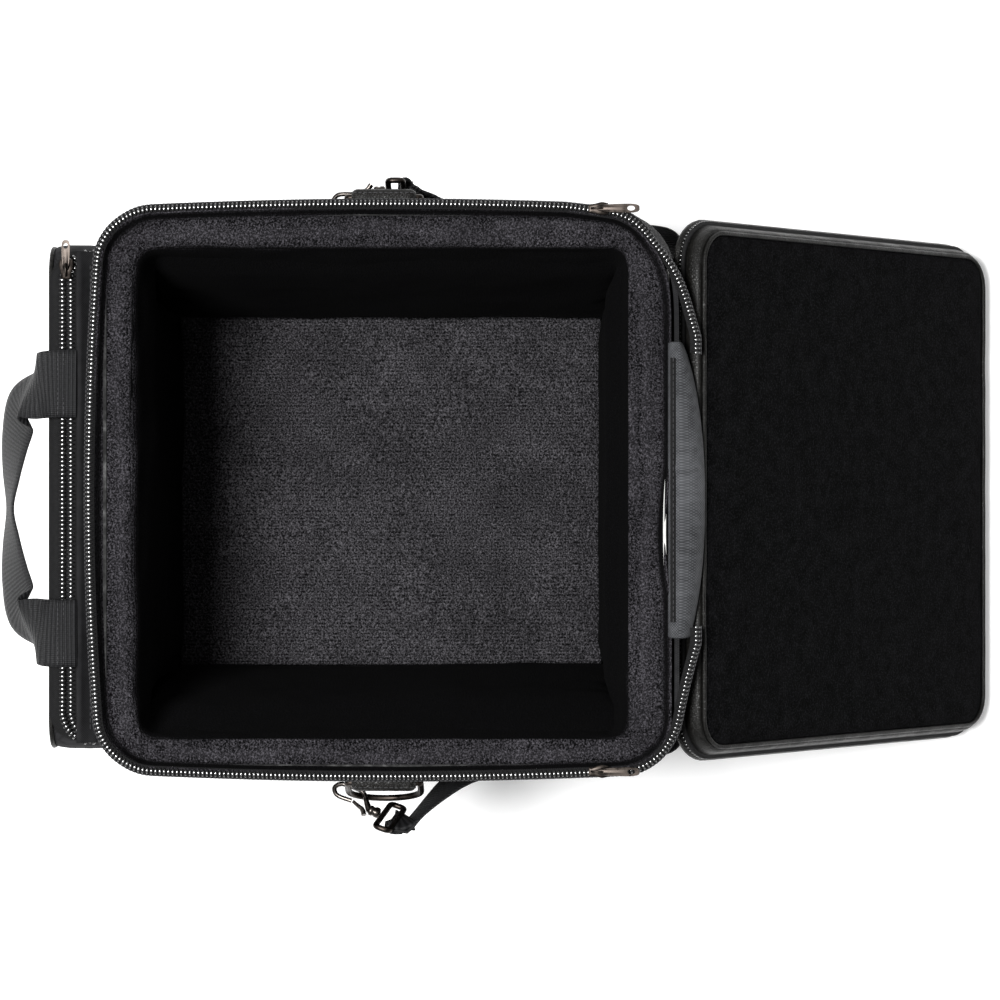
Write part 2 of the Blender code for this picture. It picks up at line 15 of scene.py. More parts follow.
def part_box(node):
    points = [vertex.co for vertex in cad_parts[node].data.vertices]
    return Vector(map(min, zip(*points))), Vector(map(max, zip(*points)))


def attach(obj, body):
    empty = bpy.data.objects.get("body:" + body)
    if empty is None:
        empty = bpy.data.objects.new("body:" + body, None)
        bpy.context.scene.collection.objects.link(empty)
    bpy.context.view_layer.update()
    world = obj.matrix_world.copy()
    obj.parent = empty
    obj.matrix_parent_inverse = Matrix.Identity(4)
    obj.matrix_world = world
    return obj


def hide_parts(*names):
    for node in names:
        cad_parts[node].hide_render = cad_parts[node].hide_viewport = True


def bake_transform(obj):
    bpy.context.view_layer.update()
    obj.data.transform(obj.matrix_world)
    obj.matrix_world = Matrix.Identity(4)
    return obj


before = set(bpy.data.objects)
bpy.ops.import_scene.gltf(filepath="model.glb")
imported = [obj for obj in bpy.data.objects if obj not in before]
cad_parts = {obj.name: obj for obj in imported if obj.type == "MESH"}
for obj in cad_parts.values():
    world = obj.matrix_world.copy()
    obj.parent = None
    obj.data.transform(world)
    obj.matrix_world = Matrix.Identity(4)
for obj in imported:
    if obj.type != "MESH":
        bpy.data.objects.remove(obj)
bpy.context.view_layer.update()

# ---- dimensions shared with the CAD frame --------------------------------------------------------
HALF_X, HALF_Y, CORNER, RIM_Z = 0.1595, 0.1635, 0.031, 0.259
ZIP_END_X = 0.077
HINGE = Vector((0, HALF_Y, RIM_Z - 0.005))
LID_TURN = Matrix.Rotation(math.radians(-230.5), 4, "X")
LID_OPEN = Matrix.Translation(HINGE) @ LID_TURN @ Matrix.Translation(-HINGE)
LID_HALF_X, LID_HALF_Y, LID_CENTRE_Y, LID_CORNER = 0.1515, 0.1535, -0.002, 0.024
POCKET_X, POCKET_HALF_X, POCKET_LOW, POCKET_HIGH = 0.004, 0.144, 0.020, RIM_Z - 0.0325
CHAIN_Y = -0.183
HANDLE_PIVOT = Vector((0.0105, -0.1775, RIM_Z - 0.021))
RING_R, RING_Z, RING_FRONT, RING_REAR = 0.165, RIM_Z - 0.016, -0.0231, 0.0181
HOOK_R, HOOK_Z = 0.1705, RIM_Z - 0.040
WEBBING, WEBBING_THICK = 0.038, 0.0022

# ---- sizes and colours of the visible pieces only -------------------------------------------------
# One turn of the zip coil after another.
COIL_PITCH = 0.0024
# The opening inside the rolled lining: half sizes and middle.
MOUTH_HALF_X, MOUTH_HALF_Y, MOUTH_X, MOUTH_Y = 0.1362, 0.1368, 0.0022, -0.0030
# The lid's outer cover.
COVER_HALF, COVER_CENTRE = (0.1515, 0.1525), (0, -0.003)
# How far from the middle each wall panel's top starts, by the way it faces, and how it leans below there.
PAD_HELD_AT = {(1, 0): 0.1355, (-1, 0): 0.1400, (0, 1): 0.1412, (0, -1): 0.1352}
PAD_LEAN, PAD_LEAN_TOP = 0.35, 0.226
# The strap's level run behind the case.
STRAP_BACK_Y, STRAP_BACK_Z = 0.1710, 0.0205
# The outer weave's darkest and lightest yarns.
CLOTH_DARK, CLOTH_LIGHT = (0.002, 0.002, 0.0023), (0.027, 0.027, 0.029)


# ---- materials ----------------------------------------------------------------------------------
class Finish:
    """A procedural material: node shorthand round one Principled shader."""

    def __init__(self, name, roughness, metallic=0.0, **sockets):
        self.material = bpy.data.materials.new(name)
        self.material.use_nodes = True
        self.nodes = self.material.node_tree.nodes
        self.links = self.material.node_tree.links
        self.shader = self.nodes["Principled BSDF"]
        self.shader.inputs["Roughness"].default_value = roughness
        self.shader.inputs["Metallic"].default_value = metallic
        for socket, value in sockets.items():
            self.shader.inputs[socket.replace("_", " ")].default_value = value

    def add(self, kind, **settings):
        node = self.nodes.new("ShaderNode" + kind)
        for key, value in settings.items():
            setattr(node, key, value)
        return node

    def feed(self, socket, value):
        if isinstance(value, (int, float, tuple)):
            socket.default_value = value
        else:
            self.links.new(value, socket)

    def math(self, operation, a, b=0.0, c=None):
        node = self.add("Math", operation=operation)
        self.feed(node.inputs[0], a)
        self.feed(node.inputs[1], b)
        if c is not None:
            self.feed(node.inputs[2], c)
        return node.outputs[0]

    def place(self, along_piece):
        """The pattern's coordinates: along and across a strip, or the row frame's own axes."""
        if along_piece:
            return self.add("Attribute", attribute_name="strip").outputs["Vector"]
        return self.add("TexCoord").outputs["Object"]

    def split(self, vector):
        return self.links.new(vector, self.add("SeparateXYZ").inputs[0]).to_node.outputs

    def noise(self, vector, grain, detail=2.0):
        """Noise from 0 to 1 whose blobs are about grain metres wide."""
        node = self.add("TexNoise")
        self.links.new(vector, node.inputs["Vector"])
        node.inputs["Scale"].default_value = 1 / grain
        node.inputs["Detail"].default_value = detail
        return node.outputs["Fac"]

    def cells(self, vector, grain):
        node = self.add("TexVoronoi", feature="DISTANCE_TO_EDGE")
        self.links.new(vector, node.inputs["Vector"])
        node.inputs["Scale"].default_value = 1 / grain
        return node.outputs["Distance"]

    def ribs(self, coordinate, pitch):
        """A ridge every pitch metres, from 0 to 1."""
        wave = self.math("SINE", self.math("MULTIPLY", coordinate, 2 * math.pi / pitch))
        return self.math("MULTIPLY_ADD", wave, 0.5, 0.5)

    def span(self, value, low, high):
        node = self.add("MapRange")
        self.feed(node.inputs["Value"], value)
        node.inputs["From Min"].default_value = low
        node.inputs["From Max"].default_value = high
        return node.outputs[0]

    def tint(self, factor, dark, light):
        node = self.add("Mix", data_type="RGBA")
        self.links.new(factor, node.inputs[0])
        node.inputs[6].default_value = (*dark, 1)
        node.inputs[7].default_value = (*light, 1)
        self.links.new(node.outputs[2], self.shader.inputs["Base Color"])

    def bump(self, height, distance, strength=1.0):
        node = self.add("Bump")
        node.inputs["Distance"].default_value = distance
        node.inputs["Strength"].default_value = strength
        self.links.new(height, node.inputs["Height"])
        self.links.new(node.outputs[0], self.shader.inputs["Normal"])

    def rough(self, factor, low, high):
        node = self.add("MapRange")
        self.links.new(factor, node.inputs["Value"])
        node.inputs["To Min"].default_value = low
        node.inputs["To Max"].default_value = high
        self.links.new(node.outputs[0], self.shader.inputs["Roughness"])


def pile(name, dark, light, rib_axis, rib_pitch=0.0017):
    """Brushed knit lining: fine ribs under a fuzz of pale fibre ends. Its colour is lighter on faces turned
    up and darker on upright faces: partly the nap, partly painted shade from light falling from above.
    """
    f = Finish(name, 1.0, Specular_IOR_Level=0.08)
    at = f.place(False)
    ribs = f.ribs(f.split(at)[rib_axis], rib_pitch)
    fuzz = f.span(f.noise(at, 0.0012, 2), 0.44, 0.64)
    fibres = f.span(f.noise(at, 0.0009, 1), 0.52, 0.66)
    patches = f.span(f.noise(at, 0.030, 3), 0.30, 0.72)
    light_part = f.math("MULTIPLY_ADD", fuzz, 0.45, f.math("MULTIPLY", fibres, 0.55))
    light_part = f.math("MULTIPLY_ADD", ribs, 0.12, light_part)
    # Painted shade: the fibre colour is scaled by how far the face turns up, so upright walls come out
    # darker and tops lighter; partly the nap, partly painted light from above.
    faces_up_painted_light = f.span(f.split(f.add("NewGeometry").outputs["Normal"])[2], 0.38, 0.98)
    nap_and_painted_shade = f.math("MULTIPLY_ADD", faces_up_painted_light, 0.96, 0.04)
    light_part = f.math("MULTIPLY", light_part, f.math("MULTIPLY_ADD", patches, 0.5, 0.7))
    f.tint(f.math("MULTIPLY", light_part, nap_and_painted_shade), dark, light)
    f.bump(f.math("MULTIPLY_ADD", ribs, 0.5, fuzz), 0.0007, 0.9)
    return f.material


def woven(name, dark, light, pitch, along_piece, roughness=0.8, axes=(0, 1)):
    """Plain weave: over-and-under bumps from two crossing sets of yarns, with slubs and rubbed patches."""
    f = Finish(name, roughness, Specular_IOR_Level=0.15)
    at = f.place(along_piece)
    parts = f.split(at)
    warp = f.ribs(parts[axes[0]], pitch)
    weft = f.ribs(parts[axes[1]], pitch)
    over = f.math("ABSOLUTE", f.math("SUBTRACT", warp, weft))
    slubs = f.span(f.noise(at, 0.004, 3), 0.3, 0.75)
    wear = f.span(f.noise(at, 0.05, 4), 0.35, 0.7)
    f.tint(
        f.math(
            "MULTIPLY_ADD", over, 0.45, f.math("MULTIPLY_ADD", slubs, 0.25, f.math("MULTIPLY", wear, 0.3))
        ),
        dark, light
    )
    f.bump(over, 0.0003, 0.9)
    f.rough(wear, roughness, roughness - 0.15)
    return f.material


def webbing_finish(name, dark, light, rib_pitch=0.0024):
    """Nylon webbing: cross ribs and fine lengthwise yarns."""
    f = Finish(name, 0.6, Specular_IOR_Level=0.25)
    at = f.place(True)
    parts = f.split(at)
    ribs = f.ribs(parts[0], rib_pitch)
    yarns = f.ribs(parts[1], 0.0011)
    fluff = f.span(f.noise(at, 0.0012, 2), 0.3, 0.8)
    height = f.math("MULTIPLY_ADD", ribs, 0.7, f.math("MULTIPLY", yarns, 0.3))
    f.tint(f.math("MULTIPLY_ADD", height, 0.6, f.math("MULTIPLY", fluff, 0.4)), dark, light)
    f.bump(height, 0.0006)
    f.rough(fluff, 0.62, 0.45)
    return f.material


def herringbone(name, dark, light):
    """Zip tape: slanting yarns that change direction every few millimetres."""
    f = Finish(name, 0.75, Specular_IOR_Level=0.25)
    at = f.place(True)
    parts = f.split(at)
    fold = f.math("PINGPONG", parts[1], 0.0013)
    slant = f.ribs(f.math("ADD", parts[0], fold), 0.0011)
    dust = f.span(f.noise(at, 0.002, 2), 0.3, 0.8)
    f.tint(f.math("MULTIPLY_ADD", slant, 0.6, f.math("MULTIPLY", dust, 0.4)), dark, light)
    f.bump(slant, 0.00025)
    return f.material


def hide(name, dark, light, roughness=0.42):
    """Coated leatherette: small pebbles, faint creases, and a worn sheen on the high spots."""
    f = Finish(name, roughness, Coat_Weight=0.03, Coat_Roughness=0.3, Specular_IOR_Level=0.18)
    at = f.place(False)
    pebble = f.span(f.cells(at, 0.0014), 0.0, 0.25)
    crease = f.span(f.noise(at, 0.012, 5), 0.35, 0.65)
    f.tint(f.math("MULTIPLY_ADD", pebble, 0.5, f.math("MULTIPLY", crease, 0.5)), dark, light)
    f.bump(f.math("MULTIPLY_ADD", pebble, 0.6, f.math("MULTIPLY", crease, 0.8)), 0.0004, 0.7)
    f.rough(crease, roughness + 0.12, roughness - 0.08)
    return f.material


def smooth_solid(name, dark, light, roughness, metallic=0.0, grain=0.004, **sockets):
    """Moulded or plated surface: faint colour drift, fine scratches, and uneven gloss."""
    f = Finish(name, roughness, metallic, **sockets)
    at = f.place(False)
    drift = f.span(f.noise(at, grain, 4), 0.3, 0.7)
    scratches = f.noise(at, grain / 12, 2)
    f.tint(drift, dark, light)
    f.rough(drift, roughness * 0.7, roughness * 1.4)
    f.bump(scratches, 0.00004, 0.5)
    return f.material


def felt_finish(name, dark, light):
    """Flat short-haired felt in slightly uneven clumps."""
    f = Finish(name, 1.0, Specular_IOR_Level=0.05)
    at = f.place(False)
    fibres = f.span(f.noise(at, 0.0010, 2), 0.50, 0.68)
    clumps = f.span(f.noise(at, 0.008, 4), 0.35, 0.75)
    f.tint(f.math("MULTIPLY_ADD", fibres, 0.7, f.math("MULTIPLY", clumps, 0.3)), dark, light)
    f.bump(fibres, 0.0003, 0.6)
    return f.material


def grey(level):
    return (level, level, level)


def make_finishes():
    """Every surface material, by its short name."""
    return {
        "wall_lining": pile("wall_lining", (0.0003, 0.0003, 0.0005), (0.080, 0.076, 0.086), 2),
        "floor_lining": pile("floor_lining", (0.0004, 0.0004, 0.0006), (0.112, 0.108, 0.118), 0, 0.0022),
        "felt": felt_finish("felt", (0.0001, 0.0001, 0.0002), (0.0100, 0.0100, 0.0112)),
        "outer": woven("outer_weave", CLOTH_DARK, CLOTH_LIGHT, 0.0013, True),
        "outer_flat": woven("base_weave", CLOTH_DARK, CLOTH_LIGHT, 0.0013, False),
        "outer_front": woven("pocket_weave", CLOTH_DARK, CLOTH_LIGHT, 0.0013, False, axes=(0, 2)),
        "hinge": woven("hinge_weave", (0.006, 0.0062, 0.007), (0.135, 0.139, 0.148), 0.0016, True, 0.75),
        "webbing": webbing_finish("ribbed_webbing", (0.0008, 0.0008, 0.0010), (0.021, 0.0213, 0.0230)),
        "tape": herringbone("zip_tape_weave", (0.0005, 0.0005, 0.0005), (0.014, 0.014, 0.015)),
        "coil": smooth_solid(
            "zip_coil_nylon", grey(0.004), grey(0.016), 0.26, 0.0, 0.002,
            Specular_IOR_Level=1.0, Coat_Weight=1.0, Coat_Roughness=0.08,
        ),
        "hide": hide("leatherette_pebble", (0.0015, 0.0014, 0.0012), (0.010, 0.0096, 0.0086)),
        "metal": smooth_solid("gunmetal_plate", (0.012, 0.010, 0.009), (0.055, 0.046, 0.040), 0.36, 1.0),
        "bright": smooth_solid("worn_steel", (0.035, 0.031, 0.028), (0.15, 0.135, 0.124), 0.27, 1.0),
        "plastic": smooth_solid("moulded_black", grey(0.010), grey(0.022), 0.4, 0.0, 0.002),
        "board": smooth_solid("grey_board", (0.50, 0.50, 0.48), (0.70, 0.70, 0.68), 0.7, 0.0, 0.006),
        "dark_board": smooth_solid("black_board", grey(0.003), grey(0.008), 0.8, 0.0, 0.006),
        "foam": smooth_solid("open_foam", grey(0.05), grey(0.14), 0.95, 0.0, 0.001),
        "thread": smooth_solid(
            "sewing_thread", (0.008, 0.008, 0.009), (0.045, 0.045, 0.048), 0.6, 0.0, 0.001
        ),
    }


FINISHES = make_finishes()


# ---- mesh helpers -------------------------------------------------------------------------------
def unit(vectors):
    vectors = np.asarray(vectors, float)
    return vectors / np.maximum(np.linalg.norm(vectors, axis=-1, keepdims=True), 1e-12)


def loft(rings, closed=False, caps=True):
    """Join closed rings of points, (count, around, 3), into (points, faces, strip coordinates)."""
    rings = np.asarray(rings, float)
    count, around = rings.shape[:2]
    faces = []
    for i in range(count if closed else count - 1):
        a, b = i * around, (i + 1) % count * around
        faces += [(a + j, a + (j + 1) % around, b + (j + 1) % around, b + j) for j in range(around)]
    if caps and not closed:
        faces.append(tuple(range(around - 1, -1, -1)))
        faces.append(tuple((count - 1) * around + j for j in range(around)))
    centres = rings.mean(axis=1)
    along = np.concatenate([[0], np.cumsum(np.linalg.norm(np.diff(centres, axis=0), axis=1))])
    steps = np.linalg.norm(np.roll(rings[0], -1, axis=0) - rings[0], axis=1)
    across = np.concatenate([[0], np.cumsum(steps)[:-1]])
    strip = np.zeros((count, around, 3))
    strip[..., 0] = along[:, None]
    strip[..., 1] = across[None, :]
    return rings.reshape(-1, 3), faces, strip.reshape(-1, 3)


def joined(parts):
    """Several (points, faces, strip) as one."""
    points, faces, strips, start = [], [], [], 0
    for p, f, s in parts:
        points.append(p)
        strips.append(s)
        faces += [tuple(start + i for i in face) for face in f]
        start += len(p)
    return np.concatenate(points), faces, np.concatenate(strips)


def stamped(template, origins, bases):
    """Copies of a small template at each origin; each basis holds its own x, y and z directions as rows."""
    points, faces, _ = template
    placed = [origin + points @ basis for origin, basis in zip(origins, bases)]
    strip = np.zeros((len(points), 3))
    return joined([(p, faces, strip) for p in placed])


def piece(name, parts, finish, body, replaces=(), matrix=None, sharp=50, levels=0, ride=True):
    """A visible object with its finish, the nodes it replaces and, when ride is true, its body."""
    points, faces, strip = parts
    if matrix is not None:
        m = np.array(matrix)
        points = points @ m[:3, :3].T + m[:3, 3]
    mesh = bpy.data.meshes.new(name)
    mesh.from_pydata([tuple(p) for p in points], [], faces)
    attribute = mesh.attributes.new("strip", "FLOAT_VECTOR", "POINT")
    attribute.data.foreach_set("vector", strip.astype(np.float32).ravel())
    bm = bmesh.new()
    bm.from_mesh(mesh)
    bmesh.ops.recalc_face_normals(bm, faces=bm.faces)
    bm.to_mesh(mesh)
    bm.free()
    mesh.shade_smooth()
    if sharp:
        mesh.set_sharp_from_angle(angle=math.radians(sharp))
    obj = bpy.data.objects.new(name, mesh)
    bpy.context.scene.collection.objects.link(obj)
    obj.data.materials.append(FINISHES[finish])
    if levels:
        modifier = obj.modifiers.new("smooth", "SUBSURF")
        modifier.levels = modifier.render_levels = levels
    if replaces:
        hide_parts(*replaces)
    if ride:
        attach(obj, body)
    return obj


def resample(points, pitch, closed=False):
    """Even steps of about pitch metres along a line of points."""
    p = np.asarray(points, float)
    if closed:
        p = np.vstack([p, p[:1]])
    s = np.concatenate([[0], np.cumsum(np.linalg.norm(np.diff(p, axis=0), axis=1))])
    steps = max(2, int(round(s[-1] / pitch)))
    at = np.linspace(0, s[-1], steps + 1)
    if closed:
        at = at[:-1]
    return np.stack([np.interp(at, s, p[:, k]) for k in range(p.shape[1])], axis=1)


def directions(path, closed=False):
    if closed:
        return unit(np.roll(path, -1, axis=0) - np.roll(path, 1, axis=0))
    return unit(np.gradient(path, axis=0))


def smooth_route(controls, per_span):
    """Points on a Catmull-Rom curve through controls, which are equal-length rows of numbers."""
    c = np.asarray(controls, float)
    c = np.vstack([2 * c[0] - c[1], c, 2 * c[-1] - c[-2]])
    t = np.linspace(0, 1, per_span, endpoint=False)[:, None]
    out = []
    for a, b, d, e in zip(c, c[1:], c[2:], c[3:]):
        out.append(
            0.5
            * (2 * b + (d - a) * t + (2 * a - 5 * b + 4 * d - e) * t**2 + (3 * b - a - 3 * d + e) * t**3)
        )
    return np.vstack(out + [c[-2:-1]])


def round_bar(path, radius, closed=False, sides=12, flat=1.0):
    """A round bar along path; radius may be one number or one per point."""
    path = np.asarray(path, float)
    along = directions(path, closed)
    radii = np.broadcast_to(radius, (len(path),))
    up = np.array((0.3, 0.2, 1.0)) if abs(along[0][2]) < 0.8 else np.array((1.0, 0.2, 0.1))
    rings = []
    for point, tangent, r in zip(path, along, radii):
        side = unit(np.cross(up, tangent))
        up = np.cross(tangent, side)
        turns = 2 * np.pi * np.arange(sides) / sides
        rings.append(point + r * (np.cos(turns)[:, None] * side + flat * np.sin(turns)[:, None] * up))
    return loft(rings, closed)


def flat_strip(stations, width=WEBBING, thick=WEBBING_THICK, across=8, cup=0.0):
    """Webbing along stations: x, y, z, its width direction, and, if given, its share of the full width."""
    stations = np.asarray(stations, float)
    width = width * (stations[:, 6] if stations.shape[1] > 6 else np.ones(len(stations)))
    centres = stations[:, :3]
    along = directions(centres)
    side = stations[:, 3:6]
    side = unit(side - along * np.sum(side * along, axis=1, keepdims=True))
    normal = np.cross(along, side)
    v = np.linspace(-1, 1, across)
    edge = 0.5 * thick * np.sqrt(np.clip(1.0 - 0.75 * np.abs(v) ** 10, 0, 1))
    hollow = cup * (1 - v**2)
    top = centres[:, None] + side[:, None] * (v[None, :] * width[:, None] / 2)[:, :, None]
    up = top + normal[:, None] * (hollow + edge)[None, :, None]
    down = top + normal[:, None] * (hollow - edge)[None, :, None]
    return loft(np.concatenate([up, down[:, ::-1]], axis=1))


def rounded(half_x, half_y, radius, centre=(0, 0), inset=0.0, steps=12):
    """A rounded rectangle's corner points, clockwise from the rear right corner."""
    out = []
    for k, (sx, sy) in enumerate([(1, 1), (1, -1), (-1, -1), (-1, 1)]):
        middle = (centre[0] + sx * (half_x - radius), centre[1] + sy * (half_y - radius))
        for i in range(steps + 1):
            turn = math.radians(90 - 90 * k - 90 * i / steps)
            r = max(radius - inset, 0.0005)
            grow = radius - inset - r
            out.append(
                (middle[0] + r * math.cos(turn) + sx * grow, middle[1] + r * math.sin(turn) + sy * grow)
            )
    return out


def evenly(outline, count, z=0.0):
    """A closed outline of number pairs as count evenly spaced points, with z as their third number."""
    loop = resample([(x, y, z) for x, y in outline], 0.0005, True)
    wrapped = np.vstack([loop, loop[:1]])
    at = np.linspace(0, len(loop), count, endpoint=False)
    return np.stack([np.interp(at, np.arange(len(wrapped)), wrapped[:, k]) for k in range(3)], axis=1)


def same_count(lines, count):
    """Each line with count points, for joining side by side."""
    out = []
    for line in lines:
        at = np.linspace(0, len(line) - 1, count)
        out.append(np.stack([np.interp(at, np.arange(len(line)), line[:, k]) for k in range(3)], axis=1))
    return out


def open_rim(outline, end_x):
    """The outline without the stretch of its rear side between -end_x and +end_x."""
    rear_y = outline[0][1]
    return [(end_x, rear_y)] + outline + [(-end_x, rear_y)]


def tooth(width, height, wire):
    """One turn of the zip's coil. Its own x runs along the zip, y across it, z up."""
    arch = [(-0.5, 0.0), (-0.44, 0.5), (-0.24, 0.86), (0.0, 0.98), (0.24, 0.9), (0.44, 0.6), (0.5, 0.05)]
    path = [(0, y * width, z * height) for y, z in arch]
    turn = round_bar(path, [wire * k for k in (0.8, 0.9, 1.0, 1.1, 1.1, 1.0, 0.9)], sides=8)
    crest = []
    for spread, low in ((0.95, 0.42), (1.0, 0.26), (0.94, 0.14), (0.72, 0.07), (0.36, 0.02)):
        half_x, half_y, z = spread * 0.00085, spread * 0.00100, height + wire * 0.95 - low * 0.001
        turns = [2 * math.pi * i / 10 for i in range(10)]
        crest.append([(half_x * math.cos(a), half_y * math.sin(a), z) for a in turns])
    return joined([turn, loft(crest)])


def stitch(length, radius):
    path = [
        (x * length, 0, z * radius)
        for x, z in ((-0.5, -0.9), (-0.36, 0.2), (0, 0.5), (0.36, 0.2), (0.5, -0.9))
    ]
    return round_bar(path, radius, sides=6)


def bases_for(path, up, closed=False):
    """Per-point rows: along, across, up."""
    along = directions(path, closed)
    up = unit(np.broadcast_to(up, along.shape))
    across = unit(np.cross(up, along))
    return np.stack([along, across, np.cross(along, across)], axis=1)


def stitches(route, pitch, up=(0, 0, 1), length=0.0022, radius=0.00028, closed=False):
    path = resample(route, pitch, closed)
    return stamped(stitch(length, radius), path, bases_for(path, up, closed))


# ---- the rim's own line ---------------------------------------------------------------------------
def settle(points, lift=0.0):
    """The rim is soft: its sides and front bow out, behind it pulls out to meet the lid's zip, and the rear
    left corner is drawn in."""
    points = np.array(points, float)
    x, y, z = points[:, 0].copy(), points[:, 1].copy(), points[:, 2]
    high = np.clip((z - 0.16) / 0.09, 0, 1) ** 2
    near_side = np.clip((np.abs(x) - 0.135) / 0.015, 0, 1)
    near_front = np.clip((-y - 0.140) / 0.012, 0, 1)
    points[:, 0] += high * 0.0038 * near_side * np.sign(x) * np.clip(1 - (y / 0.150) ** 2, 0, 1)
    points[:, 1] -= high * 0.0066 * near_front * np.clip(1 - (x / 0.155) ** 2, 0, 1)
    rear = np.clip((y - 0.110) / 0.05, 0, 1)
    reach = np.clip((0.146 - np.abs(x)) / 0.060, 0, 1)
    points[:, 1] += high * lift * rear * reach**1.4
    corner = np.exp(-(((x + 0.146) / 0.022) ** 2)) * np.clip((y - 0.10) / 0.04, 0, 1)
    points[:, 1] -= 0.0085 * high * corner
    points[:, 0] += 0.0035 * high * corner
    bow = 0.0012 * np.sin(x * 19 + 0.6) + 0.0010 * np.sin(y * 23 + 1.0)
    points[:, 2] += bow * np.clip((z - 0.2) / 0.05, 0, 1)
    return points


def rim_line(inset, z, end_x=ZIP_END_X, pitch=COIL_PITCH, lift=0.0125):
    flat = open_rim(rounded(HALF_X, HALF_Y, CORNER, inset=inset), end_x)
    route = resample([(x, y, z) for x, y in flat], 0.002)
    return resample(settle(route, lift), pitch)


def build_shell():
    """The soft outer walls: one swollen lofted form, cut at its four seams."""
    whole = resample([(x, y, 0) for x, y in rounded(HALF_X, HALF_Y, CORNER)], 0.0045, closed=True)
    heights = np.concatenate(
        [np.linspace(0.0042, 0.02, 4), np.linspace(0.03, 0.235, 18), np.linspace(0.242, 0.2552, 4)]
    )
    outward = np.cross(directions(whole, True), (0, 0, 1))
    outward = -outward if np.dot(outward[0], whole[0]) < 0 else outward

    def swell(x, y, z):
        """How far the cloth stands out: fullest mid-wall and flat at the corners, with slack folds."""
        on_side = np.clip(1 - np.minimum(abs(abs(x) - HALF_X), abs(abs(y) - HALF_Y)) / 0.004, 0, 1)
        along = y if abs(abs(x) - HALF_X) < 0.004 else x
        dome = max(0.0, math.cos(along / 0.135 * math.pi / 2)) * math.sin(math.pi * min(1, z / 0.25))
        fold = noise.noise(Vector((x * 14, y * 14, z * 9))) * 0.0016
        return 0.0030 * on_side * dome + fold * math.sin(math.pi * z / 0.259)

    cuts = {
        "front_shell": (lambda x, y: y < -HALF_Y + CORNER, "front_panel"),
        "rear_shell": (lambda x, y: y > HALF_Y - CORNER, "rear_panel"),
        "left_shell": (lambda x, y: x < 0 and abs(y) <= HALF_Y - CORNER, "left_panel"),
        "right_shell": (lambda x, y: x > 0 and abs(y) <= HALF_Y - CORNER, "right_panel"),
    }
    for name, (inside, node) in cuts.items():
        chosen = [i for i in range(len(whole)) if inside(whole[i][0], whole[i][1])]
        breaks = [k for k in range(1, len(chosen)) if chosen[k] != chosen[k - 1] + 1]
        if breaks:
            chosen = chosen[breaks[0]:] + chosen[:breaks[0]]
        chosen.append((chosen[-1] + 1) % len(whole))
        rings = []
        for order, i in enumerate(chosen):
            p, n = whole[i], outward[i]
            edge = 0.0012 if order in (0, len(chosen) - 1) else 0.0
            out = []
            for z in heights:
                out.append(p + n * (min(0.0036, swell(p[0], p[1], z)) - edge) + np.array((0, 0, z)))
            inner = [p - n * 0.0026 + np.array((0, 0, z)) for z in heights[::-1]]
            rings.append(settle(np.array(out + inner)))
        piece(name, loft(rings), "outer", "case_body", [node], sharp=60)


def build_base():
    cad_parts["base_panel"].data.materials[0] = FINISHES["outer_flat"]
    route = resample(
        [(x, y, 0.0052) for x, y in rounded(HALF_X + 0.0018, HALF_Y + 0.0018, CORNER + 0.0018)], 0.004, True
    )
    piece("base_bead", round_bar(route, 0.0017, closed=True), "hide", "case_body", ["base_piping"])
    for name in ("left_board", "right_board", "front_board", "base_board"):
        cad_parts[name].data.materials[0] = FINISHES["dark_board"]
    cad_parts["lid_foam"].data.materials[0] = FINISHES["foam"]
    rings = []
    for x in np.linspace(-0.124, 0.124, 63):
        peek = math.sin(math.pi * min(1, max(0, (x + 0.0125) / 0.072))) ** 0.6
        lean = 0.0022 * peek
        top = 0.249 + 0.0066 * peek
        low = [(x, 0.1564, 0.0038), (x, 0.1582, 0.0038), (x, 0.1582, 0.20), (x, 0.1582 - lean, top)]
        rings.append(low + [(x, 0.1566 - lean, top + 0.0002), (x, 0.1564, 0.20)])
    piece("rear_stiffener", loft(rings), "board", "case_body", ["rear_board"], sharp=30)


def relax(obj, pressure, cap, frames=20):
    """Let cloth under light pressure round the piece off; no point may travel further than cap."""
    start = np.array([v.co for v in obj.data.vertices])
    cloth = obj.modifiers.new("cloth", "CLOTH")
    settings = cloth.settings
    settings.use_pressure = True
    settings.uniform_pressure_force = pressure
    settings.mass = 0.25
    settings.tension_stiffness = settings.compression_stiffness = 12
    settings.bending_stiffness = 2.5
    settings.effector_weights.gravity = 0
    cloth.collision_settings.use_collision = False
    cloth.point_cache.frame_start, cloth.point_cache.frame_end = 1, frames
    for number in range(1, frames + 1):
        bpy.context.scene.frame_set(number)
    found = obj.evaluated_get(bpy.context.evaluated_depsgraph_get()).to_mesh()
    end = np.array([v.co for v in found.vertices])
    obj.modifiers.remove(cloth)
    bpy.context.scene.frame_set(1)
    travel = end - start
    length = np.linalg.norm(travel, axis=1, keepdims=True)
    return start + travel * np.minimum(1, cap / np.maximum(length, 1e-9))


